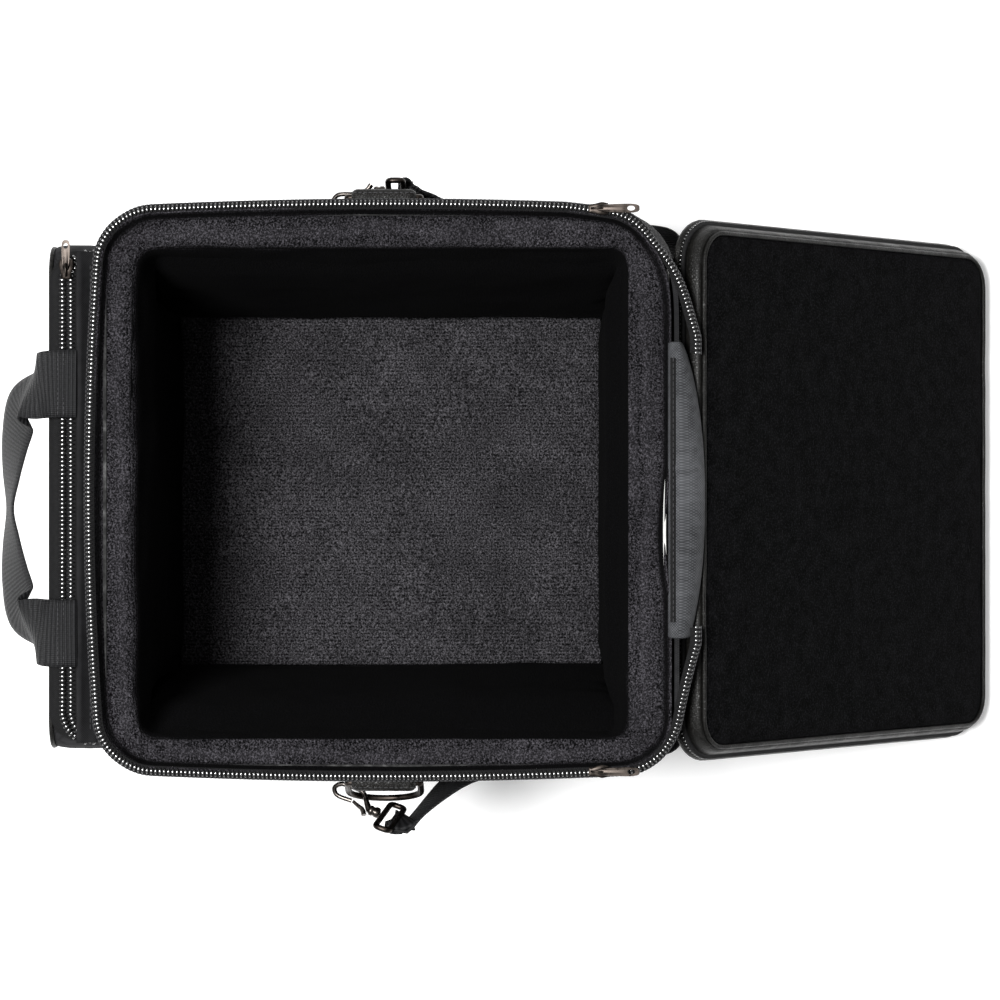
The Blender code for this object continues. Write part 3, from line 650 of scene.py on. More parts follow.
def build_pad(node, name, finish, inward, cap=0.006, wrinkle=0.0016, spill=0.0):
    """One padded lining panel, swollen from its CAD solid; inward is the side that may stand proud.

    Cloth relaxes the panel, and it is then fitted to the solid's box again. A wall panel's top is held back,
    so that the lining that rolls over it stays in front.
    """
    low, high = (np.array(c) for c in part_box(node))
    low, high = low - (spill, spill, 0), high + (spill, spill, 0)
    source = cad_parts[node]
    obj = bpy.data.objects.new(name, source.data.copy())
    bpy.context.scene.collection.objects.link(obj)
    middle = (low + high) / 2
    shrink = 1 - 0.0036 / np.maximum(high - low, 0.02)
    for vertex in obj.data.vertices:
        vertex.co = middle + (np.array(vertex.co) - middle) * shrink
    remesh = obj.modifiers.new("even", "REMESH")
    remesh.mode, remesh.voxel_size = "VOXEL", 0.0052
    even = bpy.data.meshes.new_from_object(obj.evaluated_get(bpy.context.evaluated_depsgraph_get()))
    obj.modifiers.remove(remesh)
    obj.data = even
    points = relax(obj, 4.0, cap)
    spread = points.max(axis=0) - points.min(axis=0)
    points = low + (points - points.min(axis=0)) * (high - low) / spread
    inward = np.array(inward, float)
    room_low, room_high = low.copy(), high.copy()
    room_low += np.minimum(inward, 0) * 0.004
    room_high += np.maximum(inward, 0) * 0.004
    for i, p in enumerate(points):
        folds = noise.noise(Vector(p) * 16) + 0.5 * noise.noise(Vector(p) * 45)
        points[i] = p + inward * wrinkle * folds + np.array((0, 0, 0.0008 * noise.noise(Vector(p) * 30)))
    if not inward[2]:
        out = -(points @ inward)
        least = PAD_HELD_AT[int(inward[0]), int(inward[1])]
        least = least - PAD_LEAN * np.maximum(0, PAD_LEAN_TOP - points[:, 2])
        points -= inward * np.maximum(0, least - out)[:, None]
        points[:, 2] = np.minimum(points[:, 2], RIM_Z - 0.0115)
    points = np.clip(points, room_low + 0.0002, room_high + (0, 0, 0.003))
    even.vertices.foreach_set("co", points.astype(np.float32).ravel())
    even.update()
    even.shade_smooth()
    soft = obj.modifiers.new("smooth", "SUBSURF")
    soft.levels = soft.render_levels = 1
    even.materials.clear()
    even.materials.append(FINISHES[finish])
    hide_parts(node)
    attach(obj, "case_body")
    return obj


def build_lining():
    build_pad("left_wall_pad", "left_wall_padding", "wall_lining", (1, 0, 0))
    build_pad("right_wall_pad", "right_wall_padding", "wall_lining", (-1, 0, 0))
    build_pad("front_wall_pad", "front_wall_padding", "wall_lining", (0, 1, 0))
    build_pad("rear_wall_pad", "rear_wall_padding", "wall_lining", (0, -1, 0))
    build_pad(
        "floor_pad", "floor_padding", "floor_lining", (0, 0, 1), cap=0.003, wrinkle=0.0008,
        spill=0.004
    )
    build_lining_roll()


def build_lining_roll():
    """The lining that rolls from the zip over the padding and down the walls, gathered at the corners."""
    outer = settle(evenly(rounded(HALF_X, HALF_Y, CORNER, inset=0.0050), 420) + (0, 0, RIM_Z))
    inner = evenly(rounded(MOUTH_HALF_X, MOUTH_HALF_Y, 0.009, (MOUTH_X, MOUTH_Y)), 420)
    over = [
        (0.0, -0.0028), (0.06, -0.0050), (0.12, -0.0092), (0.19, -0.0114), (0.38, -0.0115), (0.60, -0.0119),
        (0.78, -0.0132), (0.90, -0.0162), (0.97, -0.0212), (1.0, -0.0275)
    ]
    down = [(0.0016, -0.036), (0.0030, -0.046), (0.0046, -0.056), (0.0052, -0.060), (-0.0010, -0.062)]
    rings = []
    for p, q in zip(outer, inner):
        into = unit(np.array((q[0] - p[0], q[1] - p[1], 0)))
        peek = math.sin(math.pi * min(1, max(0, (p[0] + 0.014) / 0.074))) if p[1] > 0.15 else 0
        p = p + into * 0.0040 * peek
        ring = []
        for s, z in over:
            at = np.array((p[0] + (q[0] - p[0]) * s, p[1] + (q[1] - p[1]) * s, RIM_Z + z))
            soft = noise.noise(Vector(at) * 24) + 0.6 * noise.noise(Vector(at) * 60)
            off = (abs(q[0] - MOUTH_X) - MOUTH_HALF_X) - (abs(q[1] - MOUTH_Y) - MOUTH_HALF_Y)
            gather = 0.0030 * math.cos(off * 2 * math.pi / 0.011) * math.exp(-((off / 0.018) ** 2))
            gather *= math.sin(math.pi * min(1, s + 0.15))
            ring.append(
                at + into * 0.0018 * soft * s
                + np.array((0, 0, 0.0010 * min(0, soft) * min(1, 4 * s) - max(0, gather)))
            )
        for step, z in down:
            at = np.array((q[0], q[1], RIM_Z + z)) + into * step
            soft = noise.noise(Vector(at) * 20) + 0.5 * noise.noise(Vector(at) * 50)
            ring.append(at + into * 0.0020 * soft)
        under = [r - into * 0.0016 + np.array((0, 0, -0.0014)) for r in ring[::-1]]
        rings.append(ring + under)
    piece("lining_roll", loft(rings, closed=True), "wall_lining", "case_body", levels=1, sharp=0)


def build_rim_zip():
    section = [
        (-0.0002, -0.0046), (0.0004, -0.0026), (0.0022, -0.0019), (0.0058, -0.0026), (0.0058, -0.0034),
        (0.0024, -0.0028), (0.0014, -0.0046)
    ]
    lines = same_count([rim_line(inset, RIM_Z + rise, pitch=0.003) for inset, rise in section], 380)
    tape = piece(
        "rim_tape", loft(np.stack(lines, axis=1)), "tape", "case_body", ["rim_zip_tape"], sharp=0,
        ride=False
    )
    route = rim_line(0.0029, RIM_Z - 0.0021)
    bases = bases_for(route, (0, 0, 1))
    coil = piece(
        "rim_coil", stamped(tooth(0.0034, 0.0016, 0.00055), route, bases), "coil", "case_body",
        ["rim_zip_coil"], sharp=0, ride=False
    )
    seam = rim_line(0.0003, RIM_Z - 0.0023)
    sewn = piece(
        "rim_seam", stitches(seam, COIL_PITCH, length=0.0014, radius=0.0004), "thread", "case_body",
        sharp=0, ride=False
    )
    for obj in (tape, coil, sewn):
        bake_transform(obj)


def build_hinge():
    """The grey cloth from the rear wall to the lid, gathered a little, with a ridge and a sewn edge."""

    def ripple(x):
        return noise.noise(Vector((x * 32, 0.3, 2.0)))

    rings = []
    for x in np.linspace(-0.0835, 0.0835, 84):
        taper = max(0.0, 1 - (abs(x - 0.006) / 0.0895) ** 2.2)
        rise = 0.0016 * ripple(x) + (0.0010 if -0.0135 < x < -0.0105 else 0)
        wide = 0.0135 * taper**0.8 + 0.002
        profile = [
            (0.1572, -0.0044), (0.1584, -0.0024), (0.1602, -0.0014 + rise), (0.1632, -0.0012 + rise * 1.4),
            (0.1632 + wide * 0.35, -0.0018 + rise * 1.3), (0.1632 + wide * 0.7, -0.0046 + rise),
            (0.1632 + wide, -0.0100), (0.1632 + wide * 0.98, -0.0135)
        ]
        top = [(x, y, RIM_Z + z) for y, z in profile]
        under = [(x, y - 0.0002, RIM_Z + z - 0.0011) for y, z in profile[::-1]]
        rings.append(top + under)
    gusset = piece(
        "hinge_cloth", loft(rings), "hinge", "case_body", ["hinge_gusset"], levels=1, sharp=0, ride=False
    )
    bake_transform(gusset)
    edge = []
    for x in np.linspace(-0.074, 0.074, 60):
        z = RIM_Z - 0.0010 + 0.0011 * ripple(x)
        edge.append(
            [
                (x, 0.1584, z - 0.0012), (x, 0.1586, z + 0.0004), (x, 0.1612, z + 0.0006),
                (x, 0.1616, z - 0.0010)
            ]
        )
    binding = piece("hinge_binding", loft(edge), "tape", "case_body", sharp=0, ride=False)
    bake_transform(binding)
    line = [
        (x, 0.1600, RIM_Z - 0.0002 + 0.0011 * ripple(x))
        for x in np.linspace(-0.073, 0.073, 60)
    ]
    sewn = piece("hinge_seam", stitches(line, 0.0034), "thread", "case_body", sharp=0, ride=False)
    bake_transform(sewn)


# ---- lid ----------------------------------------------------------------------------------------
def lid_outline(inset, z, closed=True, grow=0.0, end_x=ZIP_END_X, pitch=0.003):
    flat = rounded(LID_HALF_X + grow, LID_HALF_Y + grow, LID_CORNER + grow, (0, LID_CENTRE_Y), inset)
    if not closed:
        flat = open_rim(flat, end_x)
    return resample([(x, y, z) for x, y in flat], pitch, closed)


def dense_loops(
    insets, z, half=(LID_HALF_X, LID_HALF_Y), radius=LID_CORNER, centre=(0, LID_CENTRE_Y), count=240
):
    """Matching even loops of a rounded rectangle at several insets."""
    loops = []
    for inset in insets:
        hx, hy = half[0] - inset, half[1] - inset
        r = max(0.004, radius - inset)
        loops.append(evenly(rounded(hx, hy, min(r, hx, hy), centre, 0.0), count, z))
    return loops


def resting(loop):
    """Closed-lid points, pushed up where the open lid's edge would press into the table."""
    pressed = [LID_OPEN @ Vector(p) for p in loop]
    back = LID_OPEN.inverted()
    return np.array([back @ Vector((w.x, w.y, max(w.z, 0.0008))) for w in pressed])


def build_lid():
    def on_lid(name, parts, finish, replaces=(), **options):
        return piece(name, parts, finish, "lid", replaces, matrix=LID_OPEN, **options)

    face_z = RIM_Z - 0.0095
    insets = [0.0062, 0.0064, 0.0078, 0.011, 0.017, 0.028, 0.045, 0.068, 0.095, 0.125]
    crown = [0.004, 0.0008, 0.0001, -0.0005, -0.0010, -0.0013, -0.0014, -0.0014, -0.0014, -0.0014]
    loops = dense_loops(insets, face_z)
    for loop, h in zip(loops, crown):
        for p in loop:
            edge = min(LID_HALF_X - abs(p[0]), LID_HALF_Y - abs(p[1] - LID_CENTRE_Y))
            pucker = noise.noise(Vector((p[0] * 40, p[1] * 40, 0.0))) * math.exp(-edge / 0.02)
            p[2] += h + 0.0012 * pucker + 0.0006 * noise.noise(Vector((p[0] * 14, p[1] * 14, 3.0)))
    back = [loops[0] + (0, 0, 0.0005)]
    on_lid("lid_felt", loft(back + loops), "felt", ["lid_lining"], sharp=0)
    bead = dense_loops([0.0056], face_z + 0.0001)[0]
    for p in bead:
        p[2] += 0.0004 * noise.noise(Vector((p[0] * 45, p[1] * 45, 5.0)))
    on_lid("lid_bead", round_bar(bead, 0.00125, closed=True, sides=8), "hide", ["lid_piping"], sharp=0)
    wall = [(0.0054, 0.0012), (0.0036, 0.0012), (0.0026, 0.0022), (0.0018, 0.0050), (0.0006, 0.0092)]
    rims = [dense_loops([inset], face_z + rise)[0] for inset, rise in wall]
    rims += [dense_loops([inset + 0.0009], face_z + rise)[0] for inset, rise in wall[::-1]]
    on_lid("lid_wall", loft(np.stack(rims, axis=1), closed=True), "hide", ["lid_side_band"], sharp=0)
    tape = [(0.0026, 0.0), (-0.0016, 0.0002), (-0.0016, 0.0009), (0.0026, 0.0008)]
    lines = same_count([lid_outline(inset, RIM_Z + 0.0006 + rise, False) for inset, rise in tape], 400)
    on_lid("lid_tape", loft(np.stack(lines, axis=1)), "tape", ["lid_zip_tape"], sharp=0)
    route = lid_outline(0.0004, RIM_Z + 0.0016, False, pitch=COIL_PITCH)
    on_lid(
        "lid_coil", stamped(tooth(0.0036, 0.0018, 0.00058), route, bases_for(route, (0, 0, 1))), "coil",
        ["lid_zip_coil"], sharp=0
    )
    profile = [
        (0.0020, 0.0046), (-0.0006, 0.0042), (-0.0022, 0.0048), (-0.0030, 0.0062), (-0.0026, 0.0078),
        (-0.0010, 0.0088), (0.0018, 0.0091), (0.0042, 0.0089), (0.009, 0.0104), (0.020, 0.0114),
        (0.045, 0.0122), (0.080, 0.0126), (0.120, 0.0127)
    ]
    cover = []
    for inset, rise in profile:
        loop = dense_loops([inset], RIM_Z + rise, half=COVER_HALF, centre=COVER_CENTRE)[0]
        for p in loop:
            p[2] += 0.0005 * noise.noise(Vector((p[0] * 22, p[1] * 22, 7.0))) * min(1, max(0, inset / 0.01))
        cover.append(resting(loop))
    on_lid("lid_shell", loft(cover), "hide", ["lid_cover"], sharp=0)
    trim = resting(dense_loops([0.0055], RIM_Z + 0.0096, half=COVER_HALF, centre=COVER_CENTRE)[0])
    on_lid("lid_seam", stitches(trim, 0.0038, closed=True), "thread", sharp=0)


# ---- pocket -------------------------------------------------------------------------------------
def pocket_loop(inset, radius=0.018, count=200):
    half = (POCKET_HALF_X - inset, (POCKET_HIGH - POCKET_LOW) / 2 - inset)
    flat = rounded(*half, min(max(0.006, radius - inset), *half), (POCKET_X, (POCKET_LOW + POCKET_HIGH) / 2))
    return evenly(flat, count)[:, :2]


def chain_route(offset, z, pitch=COIL_PITCH):
    """The pocket zip's line, bending in towards the case at both ends; offset is towards the case."""
    left, right = POCKET_X - 0.1385, POCKET_X + 0.1385
    y = CHAIN_Y + offset
    controls = [
        (left, y + 0.013, z - 0.003), (left + 0.004, y + 0.0055, z - 0.001), (left + 0.013, y + 0.0004, z),
        (left + 0.03, y, z), (POCKET_X, y, z), (right - 0.03, y, z), (right - 0.013, y + 0.0004, z),
        (right - 0.004, y + 0.0055, z - 0.001), (right, y + 0.013, z - 0.003)
    ]
    return resample(smooth_route(controls, 12), pitch)


def build_pocket():
    rows = []
    profile = [
        (0.0012, -0.1640), (0.0, -0.1650), (-0.0004, -0.172), (-0.0004, -0.184), (0.0002, -0.1895),
        (0.0016, -0.1922), (0.0042, -0.1934), (0.0085, -0.1938), (0.020, -0.1946), (0.045, -0.1958),
        (0.075, -0.1962), (0.095, -0.1963)
    ]
    for inset, y in profile:
        loop = pocket_loop(inset)
        row = []
        for x, z in loop:
            depth = noise.noise(Vector((x * 17, z * 17, 4.0))) * 0.0014 if y < -0.19 else 0
            out = 0.0008 * noise.noise(Vector((x * 25, y * 60, z * 25)))
            row.append((x + out, max(y + depth, -0.1972), z + (out if z < 0.2 else -0.0012)))
        rows.append(row)
    piece("pocket_body", loft(rows), "outer_front", "case_body", ["pocket_gusset", "pocket_panel"], sharp=0)
    bead = [(x, -0.1925, z) for x, z in pocket_loop(0.0014)]
    piece("pocket_bead", round_bar(bead, 0.0013, closed=True, sides=8), "hide", "case_body", sharp=0)
    z = POCKET_HIGH + 0.0004
    for name, inner, outer, nodes in (
        ("pocket_tape", -0.0100, -0.0012, ["pocket_zip_tape"]),
        ("pocket_inner_tape", 0.0012, 0.0068, ["pocket_top_band"]),
    ):
        lines = [
            chain_route(inner, z), chain_route(inner, z + 0.0009), chain_route(outer, z + 0.0009),
            chain_route(outer, z)
        ]
        piece(name, loft(np.stack(same_count(lines, 150), axis=1)), "tape", "case_body", nodes, sharp=0)
    parts = []
    for offset, turn in ((-0.0024, 1), (0.0024, -1)):
        route = chain_route(offset, z + 0.0008)
        bases = bases_for(route, (0, 0, 1))
        bases[:, 0] *= turn
        bases[:, 1] *= turn
        parts.append(stamped(tooth(0.0040, 0.0020, 0.00060), route, bases))
    piece("pocket_coil", joined(parts), "coil", "case_body", ["pocket_zip_chain"], sharp=0)
    ridge = []
    for x in np.linspace(POCKET_X - 0.139, POCKET_X + 0.139, 90):
        end = min(1, (0.139 - abs(x - POCKET_X)) / 0.01)
        wave = 0.0005 * noise.noise(Vector((x * 50, 9.0, 0)))
        profile = [
            (-0.1762, -0.0082), (-0.1758, 0.0008 + wave), (-0.1742, 0.0022 + wave), (-0.1724, 0.0006),
            (-0.1700, -0.0035), (-0.1665, -0.0050), (-0.1645, -0.0068), (-0.1645, -0.0085)
        ]
        ridge.append([(x, y - 0.0006, HANDLE_PIVOT.z + dz * (0.5 + 0.5 * end)) for y, dz in profile])
    piece("pocket_welt", loft(ridge), "outer", "case_body", ["pocket_seam_ridge"], sharp=0)
    line = [(x, -0.1690, HANDLE_PIVOT.z - 0.0032) for x in np.linspace(POCKET_X - 0.13, POCKET_X + 0.13, 50)]
    piece("pocket_seam", stitches(line, 0.0036), "thread", "case_body", sharp=0)


def squarish(turn, across=0.6, up=0.6):
    """A circle's cosine and sine, drawn out towards a square by powers below 1."""
    c, s = math.cos(turn), math.sin(turn)
    return np.sign(c) * abs(c) ** across, np.sign(s) * abs(s) ** up


# ---- sliders ------------------------------------------------------------------------------------
def slab(outline, low, high, soften=0.0006):
    """A plate with softened edges from an outline of (x, y)."""
    flat = np.array(outline, float)
    centre = flat.mean(axis=0)
    away = flat - centre
    size = np.abs(away).max(axis=0)
    small = centre + away * (1 - soften / size)
    rows = [(small, low), (flat, low + soften * 0.6), (flat, high - soften * 0.6), (small, high)]
    return loft([[(x, y, z) for x, y in plan] for plan, z in rows])


def slider_parts(length, width, low, high):
    """A zip slider's body along its own +X nose direction, and the bridge over it."""
    l, w = length / 2, width / 2
    plan = [
        (-l, -w * 0.62), (-l * 0.4, -w * 0.7), (l * 0.35, -w), (l, -w * 0.8), (l * 0.8, 0), (l, w * 0.8),
        (l * 0.35, w), (-l * 0.4, w * 0.7), (-l, w * 0.62)
    ]
    body = slab(resample([(x, y, 0) for x, y in plan], 0.0008, True)[:, :2], low, high)
    arch = [
        (-l * 0.7, 0, high - 0.0002), (-l * 0.62, 0, high + 0.0017), (0, 0, high + 0.0025),
        (l * 0.5, 0, high + 0.0015), (l * 0.6, 0, high - 0.0002)
    ]
    return joined([body, round_bar(smooth_route(arch, 6), 0.0007, sides=8)])


def puller_parts(length, width, thick):
    """A tapered pull tab lying along its own +X from the pivot, with a hanging hole."""
    outer, inner = [], []
    for i in range(48):
        a = 2 * math.pi * i / 48
        c, s = math.cos(a), math.sin(a)
        square_x, square_y = squarish(a)
        x = length / 2 + (length / 2) * square_x - 0.001
        half = width / 2 * (0.72 + 0.28 * (x / length))
        outer.append((x, half * square_y))
        inner.append((length * 0.80 + length * 0.09 * c - 0.001, width * 0.24 * s))
    rings = []
    for (ox, oy), (ix, iy) in zip(outer, inner):
        mx, my = ix + (ox - ix) * 0.9, iy + (oy - iy) * 0.9
        rings.append(
            [
                (ox, oy, 0), (mx, my, thick / 2), (ix, iy, thick / 2 * 0.9), (ix, iy, -thick / 2 * 0.9),
                (mx, my, -thick / 2)
            ]
        )
    return loft(rings, closed=True)


def build_sliders():
    for name, side in (("left", -1), ("right", 1)):
        pivot = Vector((side * 0.1573, 0.118, RIM_Z + 0.0052))
        turned = Matrix.Translation(pivot) @ Matrix.Rotation(math.pi / 2, 4, "Z")
        piece(
            f"{name}_slider_body", slider_parts(0.011, 0.0074, -0.0052 + 0.0003, -0.0016), "metal",
            f"{name}_slider", [f"{name}_rim_slider"], matrix=turned
        )
        piece(
            f"{name}_pull_tab", puller_parts(0.024, 0.0058, 0.0013), "metal", f"{name}_puller",
            [f"{name}_rim_puller"], matrix=turned
        )
    pivot = Vector((-0.1255, CHAIN_Y, POCKET_HIGH + 0.0003 + 0.0028 + 0.0048))
    turned = Matrix.Translation(pivot) @ Matrix.Rotation(math.pi, 4, "Z")
    piece(
        "pocket_slider_body", slider_parts(0.0115, 0.0086, -0.0045, -0.0015), "metal", "pocket_slider",
        ["pocket_slider"], matrix=turned
    )
    piece(
        "pocket_pull_tab", puller_parts(0.0172, 0.0056, 0.0012), "metal", "pocket_puller",
        ["pocket_puller"], matrix=turned
    )


# ---- handle -------------------------------------------------------------------------------------
def build_handle():
    span = 0.0705
    half = [
        (-span, 0.0015, 0.0014, 1, 0, 0),
        (-span, -0.011, 0.0010, 1, 0, 0),
        (-span + 0.001, -0.020, -0.0030, 1, -0.1, 0.05),
        (-span + 0.005, -0.028, -0.012, 0.85, -0.35, 0.4),
        (-span + 0.015, -0.033, -0.021, 0.60, 0.45, 0.75),
        (-span + 0.032, -0.0375, -0.027, 0.28, 0.48, 0.86),
        (-span + 0.052, -0.0400, -0.030, 0.08, 0.36, 0.94),
        (0.0, -0.0405, -0.031, 0, 0.22, 1),
    ]
    other = [(-x, y, z, -wx, wy, wz) for x, y, z, wx, wy, wz in reversed(half[:-1])]
    stations = smooth_route(half + other, 9)
    stations[:, :3] += np.array(HANDLE_PIVOT)
    piece(
        "handle_webbing", flat_strip(stations, across=10, cup=0.0006), "webbing", "carry_handle",
        ["carry_handle"], sharp=0
    )
    lines = []
    for side in (-1, 1):
        x = HANDLE_PIVOT.x + side * span
        for y in (HANDLE_PIVOT.y - 0.0060, HANDLE_PIVOT.y - 0.0092):
            row = [(x + k, y, HANDLE_PIVOT.z + 0.0026) for k in np.linspace(-0.0165, 0.0165, 12)]
            lines.append(stitches(row, 0.0028))
    piece("handle_stitching", joined(lines), "thread", "carry_handle", sharp=0)


# ---- hooks and straps ---------------------------------------------------------------------------
def about(point, axis, degrees):
    move = Matrix.Translation(point)
    return move @ Matrix.Rotation(math.radians(degrees), 4, axis) @ move.inverted()


class HookSide:
    """Placing matrices of one side's hook set, for points as (outwards, along Y, up) from the origin."""

    def __init__(self, name, side, swing, yaw, roll):
        self.name, self.side = name, side
        mirror = Matrix.Diagonal((side, 1, 1, 1))
        swung = about(Vector((RING_R, 0, RING_Z)), "Y", -swing)
        yawed = swung @ about(Vector((RING_R, RING_FRONT + 0.0018, 0)), "Z", -yaw)
        rolled = yawed @ about(Vector((HOOK_R, 0, HOOK_Z)), "Y", roll)
        self.ring, self.hook, self.eye = mirror @ swung, mirror @ yawed, mirror @ rolled


EYE_INNER, EYE_OUTER, EYE_HALF, EYE_TILT = -0.0004, 0.0080, 0.0205, math.radians(13)


def eye_route(steps=5):
    half, cut = EYE_HALF, 0.0030
    corners = [(EYE_INNER, half), (EYE_OUTER, half), (EYE_OUTER, -half), (EYE_INNER, -half)]
    route = []
    for k, (y, v) in enumerate(corners):
        before, after = corners[k - 1], corners[(k + 1) % 4]
        p0 = np.array((y, v)) + unit(np.array(before) - (y, v)) * cut
        p2 = np.array((y, v)) + unit(np.array(after) - (y, v)) * cut
        for t in np.linspace(0, 1, steps):
            route.append((1 - t) ** 2 * p0 + 2 * t * (1 - t) * np.array((y, v)) + t**2 * p2)
    return resample(
        [(HOOK_R + v * math.sin(EYE_TILT), y, HOOK_Z + v * math.cos(EYE_TILT)) for y, v in route], 0.0012,
        True
    )


def ring_route():
    radius, middle = (RING_REAR - RING_FRONT) / 2, (RING_REAR + RING_FRONT) / 2
    route = [
        (RING_FRONT + 0.0012, RING_Z), (RING_REAR - 0.0012, RING_Z), (RING_REAR - 0.0003, RING_Z - 0.0003),
        (RING_REAR, RING_Z - 0.0012)
    ]
    for i in range(25):
        turn = math.pi * i / 24
        route.append((middle + radius * math.cos(turn), RING_Z - 0.018 - 0.72 * radius * math.sin(turn)))
    route += [(RING_FRONT, RING_Z - 0.0012), (RING_FRONT + 0.0003, RING_Z - 0.0003)]
    return resample([(RING_R, y, z) for y, z in route], 0.0012, True)


def build_hook_set(s):
    n = s.name
    piece(
        f"{n}_ring", round_bar(ring_route(), 0.00185, closed=True), "metal", f"{n}_hook_set",
        [f"{n}_d_ring"], matrix=s.ring
    )
    nose = [
        (0.1705, -0.0084), (0.1696, -0.0096), (0.1660, -0.0124), (0.1626, -0.0150), (0.1613, -0.0185),
        (0.1612, -0.0270), (0.1622, -0.0302), (0.1650, -0.0320), (0.1678, -0.0304), (0.1689, -0.0272),
        (0.1689, -0.0202)
    ]
    path = smooth_route([(r, y, HOOK_Z) for r, y in nose], 6)
    shank = round_bar(
        path, np.interp(np.arange(len(path)), [0, 6, 14, len(path) - 1], [0.0024, 0.0019, 0.0014, 0.0013])
    )
    barrel = [
        (-0.0022, 0.0012), (-0.0026, 0.0026), (-0.0034, 0.0031), (-0.0052, 0.0031), (-0.0056, 0.0026),
        (-0.0066, 0.0026), (-0.0070, 0.0030), (-0.0084, 0.0029), (-0.0090, 0.0022)
    ]
    swivel = round_bar([(0.1705, y, HOOK_Z) for y, _ in barrel], [r for _, r in barrel], sides=20)
    piece(
        f"{n}_hook_body", joined([shank, swivel]), "bright", f"{n}_hook_set", [f"{n}_snap_hook"],
        matrix=s.hook
    )
    lever = smooth_route(
        [
            (0.1744, -0.0105, HOOK_Z), (0.1715, -0.0128, HOOK_Z), (0.1705, -0.0153, HOOK_Z),
            (0.1689, -0.0193, HOOK_Z)
        ],
        5
    )
    bar = round_bar(lever, np.linspace(0.0016, 0.0010, len(lever)), flat=1.5)
    piece(f"{n}_gate_lever", bar, "bright", f"{n}_gate", [f"{n}_hook_gate"], matrix=s.hook)
    eye = round_bar(eye_route(), 0.0017, closed=True)
    piece(f"{n}_eye_loop", eye, "metal", f"{n}_eye", [f"{n}_strap_eye"], matrix=s.eye)
    rows = []
    for y in np.linspace(-0.0206, 0.0156, 26):
        end = 1 - 0.35 * max(0, abs(y + 0.0025) - 0.0160) / 0.0021
        ring = []
        for i in range(24):
            out, up = squarish(2 * math.pi * i / 24)
            ring.append((0.1648 + 0.0049 * end * out, y, RING_Z - 0.0004 + 0.0064 * end * up))
        rows.append(ring)
    tab = loft(rows)
    side = Matrix.Diagonal((s.side, 1, 1, 1))
    piece(f"{n}_tab", tab, "hide", "case_body", [f"{n}_ring_tab"], matrix=side, sharp=60)
    sewn = [
        stitches([(r, y, RING_Z + 0.0059) for y in np.linspace(-0.0185, 0.0135, 10)], 0.003)
        for r in (0.1622, 0.1674)
    ]
    piece(f"{n}_tab_stitching", joined(sewn), "thread", "case_body", matrix=side, sharp=0)


LEFT_LEAD = [
    (0.2, 0.0052, -0.004, 0.66), (1.0, 0.0066, -0.005, 0.66), (0.5, 0.0106, -0.007, 0.66),
    (-0.2, 0.0150, -0.009, 0.7), (-0.7, 0.0200, -0.011, 0.78)
]
RIGHT_LEAD = [
    (0.2, 0.0052, 0, 0.8), (1.0, 0.0066, 0, 0.8), (0.8, 0.0106, -0.001, 0.8), (-0.1, 0.0150, -0.003, 0.85)
]
LEFT_STRAP = [
    (0.1640, 0.036, 0.198, -0.02, 0.3, 0.95),
    (0.1622, 0.070, 0.168, 0, 0.6, 0.8),
    (0.1622, 0.104, 0.120, 0, 0.75, 0.66),
    (0.1630, 0.137, 0.058, 0, 0.75, 0.66),
    (0.1590, 0.162, 0.030, 0.05, 0.45, 0.9),
    (0.1400, 0.1765, 0.0215, 0, 0.1, 1),
    (0.1150, 0.1716, 0.0205, 0, 0, 1),
    (0.0600, STRAP_BACK_Y, STRAP_BACK_Z, 0, 0, 1),
]
RIGHT_STRAP = [
    (0.1668, 0.040, 0.203, 0.06, 0.3, 0.95), (0.1630, 0.070, 0.172, 0.0, 0.6, 0.8)
] + LEFT_STRAP[2:]


def build_strap(s, lead, route, join_x):
    """Half the shoulder strap, sewn back on itself round the hook's eye, from the hook to the adjuster."""
    across = s.eye.to_3x3() @ Vector((math.sin(EYE_TILT), 0, math.cos(EYE_TILT)))
    lean = [
        across, across, across, across.lerp(Vector((0, 0.1, 1)), 0.4), across.lerp(Vector((0, 0.1, 1)), 0.8)
    ]
    starts = [
        (*(s.eye @ Vector((HOOK_R + 0.0026 * out, y, HOOK_Z + drop))), *w, gather)
        for w, (out, y, drop, gather) in zip(lean, lead)
    ]
    controls = starts + [(s.side * r, y, z, s.side * wr, wy, wz, 1) for r, y, z, wr, wy, wz in route]
    controls.append((join_x, STRAP_BACK_Y, STRAP_BACK_Z, 0, 0, 1, 1))
    main = flat_strip(smooth_route(controls, 8), across=10, width=WEBBING - 0.0016, thick=0.0018)
    back = [
        (
            *(s.eye @ Vector((HOOK_R + 0.0026 * out - 0.0024 * min(1, k), y, HOOK_Z + drop))), *lean[k],
            gather * 0.97
        )
        for k, (out, y, drop, gather) in enumerate(lead[:4])
    ]
    fold = flat_strip(smooth_route(back, 6), across=10, width=WEBBING - 0.0020, thick=0.0016)
    strap = piece(
        f"{s.name}_strap_webbing", joined([main, fold]), "webbing", "case_body", [f"{s.name}_strap"],
        sharp=0, ride=False
    )
    row = []
    for v in np.linspace(-0.0105, 0.0105, 8):
        height = HOOK_Z + 1.12 * lead[2][2] + v * math.cos(EYE_TILT)
        spot = Vector((HOOK_R + 0.0028 + v * math.sin(EYE_TILT), EYE_OUTER + 0.0052, height))
        row.append(tuple(s.eye @ spot))
    outward = s.eye.to_3x3() @ Vector((1, 0, 0))
    seam = stitches(row, 0.0028, up=tuple(outward))
    sewn = piece(f"{s.name}_strap_stitching", seam, "thread", "case_body", sharp=0, ride=False)
    for obj in (strap, sewn):
        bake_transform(obj)


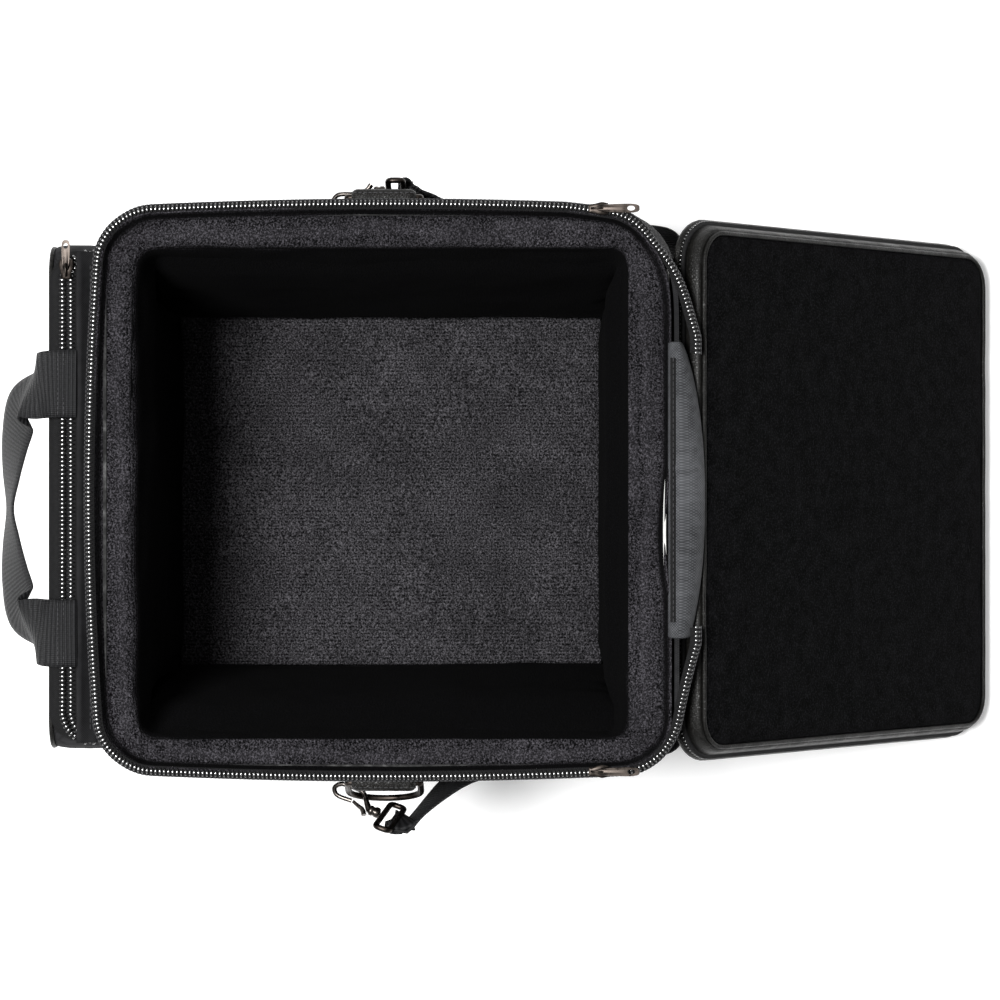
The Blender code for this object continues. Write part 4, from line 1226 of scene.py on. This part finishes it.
def build_adjuster():
    """A moulded three-bar slider round the strap, drawn as a rounded frame without its middle bar."""
    centre = np.array((0.020, STRAP_BACK_Y, STRAP_BACK_Z))
    ring = []
    for i in range(40):
        across, up = squarish(2 * math.pi * i / 40, 0.5, 0.25)
        oy, oz = 0.0033 * across, 0.0201 * up
        iy, iz = 0.0016 * across, 0.0186 * up
        ring.append(
            [
                (-0.0116, oy, oz), (-0.0119, (oy + iy) / 2, (oz + iz) / 2), (-0.0116, iy, iz),
                (0.0116, iy, iz), (0.0119, (oy + iy) / 2, (oz + iz) / 2), (0.0116, oy, oz)
            ]
        )
    parts = loft(np.array(ring) + centre, closed=True)
    piece("adjuster_frame", parts, "plastic", "strap_adjuster", ["strap_adjuster"], sharp=40)


# ---- stage --------------------------------------------------------------------------------------
def area_light(name, location, target, size, power, colour=(1, 1, 1)):
    light = bpy.data.lights.new(name, "AREA")
    light.shape = "DISK"
    light.size, light.energy, light.color = size, power, colour
    lamp = bpy.data.objects.new(name, light)
    lamp.location = location
    lamp.rotation_euler = (Vector(target) - Vector(location)).to_track_quat("-Z", "Y").to_euler()
    bpy.context.scene.collection.objects.link(lamp)


def build_stage():
    bm = bmesh.new()
    bmesh.ops.create_grid(bm, x_segments=1, y_segments=1, size=12)
    mesh = bpy.data.meshes.new("studio_floor")
    bm.to_mesh(mesh)
    bm.free()
    floor = bpy.data.objects.new("studio_floor", mesh)
    floor.location.z = -0.0002
    bpy.context.scene.collection.objects.link(floor)
    paper = Finish("white_paper", 0.9, Emission_Strength=0.22)
    at = paper.place(False)
    paper.tint(paper.noise(at, 0.3), (0.93, 0.93, 0.93), (0.95, 0.95, 0.95))
    mesh.materials.append(paper.material)
    world = bpy.data.worlds.new("soft_room")
    bpy.context.scene.world = world
    world.use_nodes = True
    world.node_tree.nodes["Background"].inputs["Color"].default_value = (1, 1, 1, 1)
    world.node_tree.nodes["Background"].inputs["Strength"].default_value = 0.26
    area_light("overhead", (-0.05, -0.75, 3.1), (0, 0.05, 0.1), 0.75, 145)
    area_light("left_fill", (-2.2, 0.6, 2.0), (0, 0, 0.1), 1.4, 10)
    view = bpy.context.scene.view_settings
    view.view_transform, view.look, view.exposure, view.gamma = "Standard", "None", 0.0, 1.0
    camera = bpy.data.objects.new("camera", bpy.data.cameras.new("camera"))
    camera.data.lens, camera.data.sensor_width = 129.7, 36
    camera.data.clip_end = 50
    camera.location = (0.0056, 0.063, 2.275)
    camera.rotation_euler = (0, 0, math.pi / 2)
    bpy.context.scene.collection.objects.link(camera)
    bpy.context.scene.camera = camera


def main():
    build_stage()
    build_shell()
    build_base()
    build_lining()
    build_rim_zip()
    build_hinge()
    build_lid()
    build_pocket()
    build_sliders()
    build_handle()
    left, right = HookSide("left", -1, 0, 0, 0), HookSide("right", 1, 20, 20, 22)
    for s, lead, route, join_x in (
        (left, LEFT_LEAD, LEFT_STRAP, 0.0197), (right, RIGHT_LEAD, RIGHT_STRAP, 0.0203)
    ):
        build_hook_set(s)
        build_strap(s, lead, route, join_x)
    build_adjuster()


main()
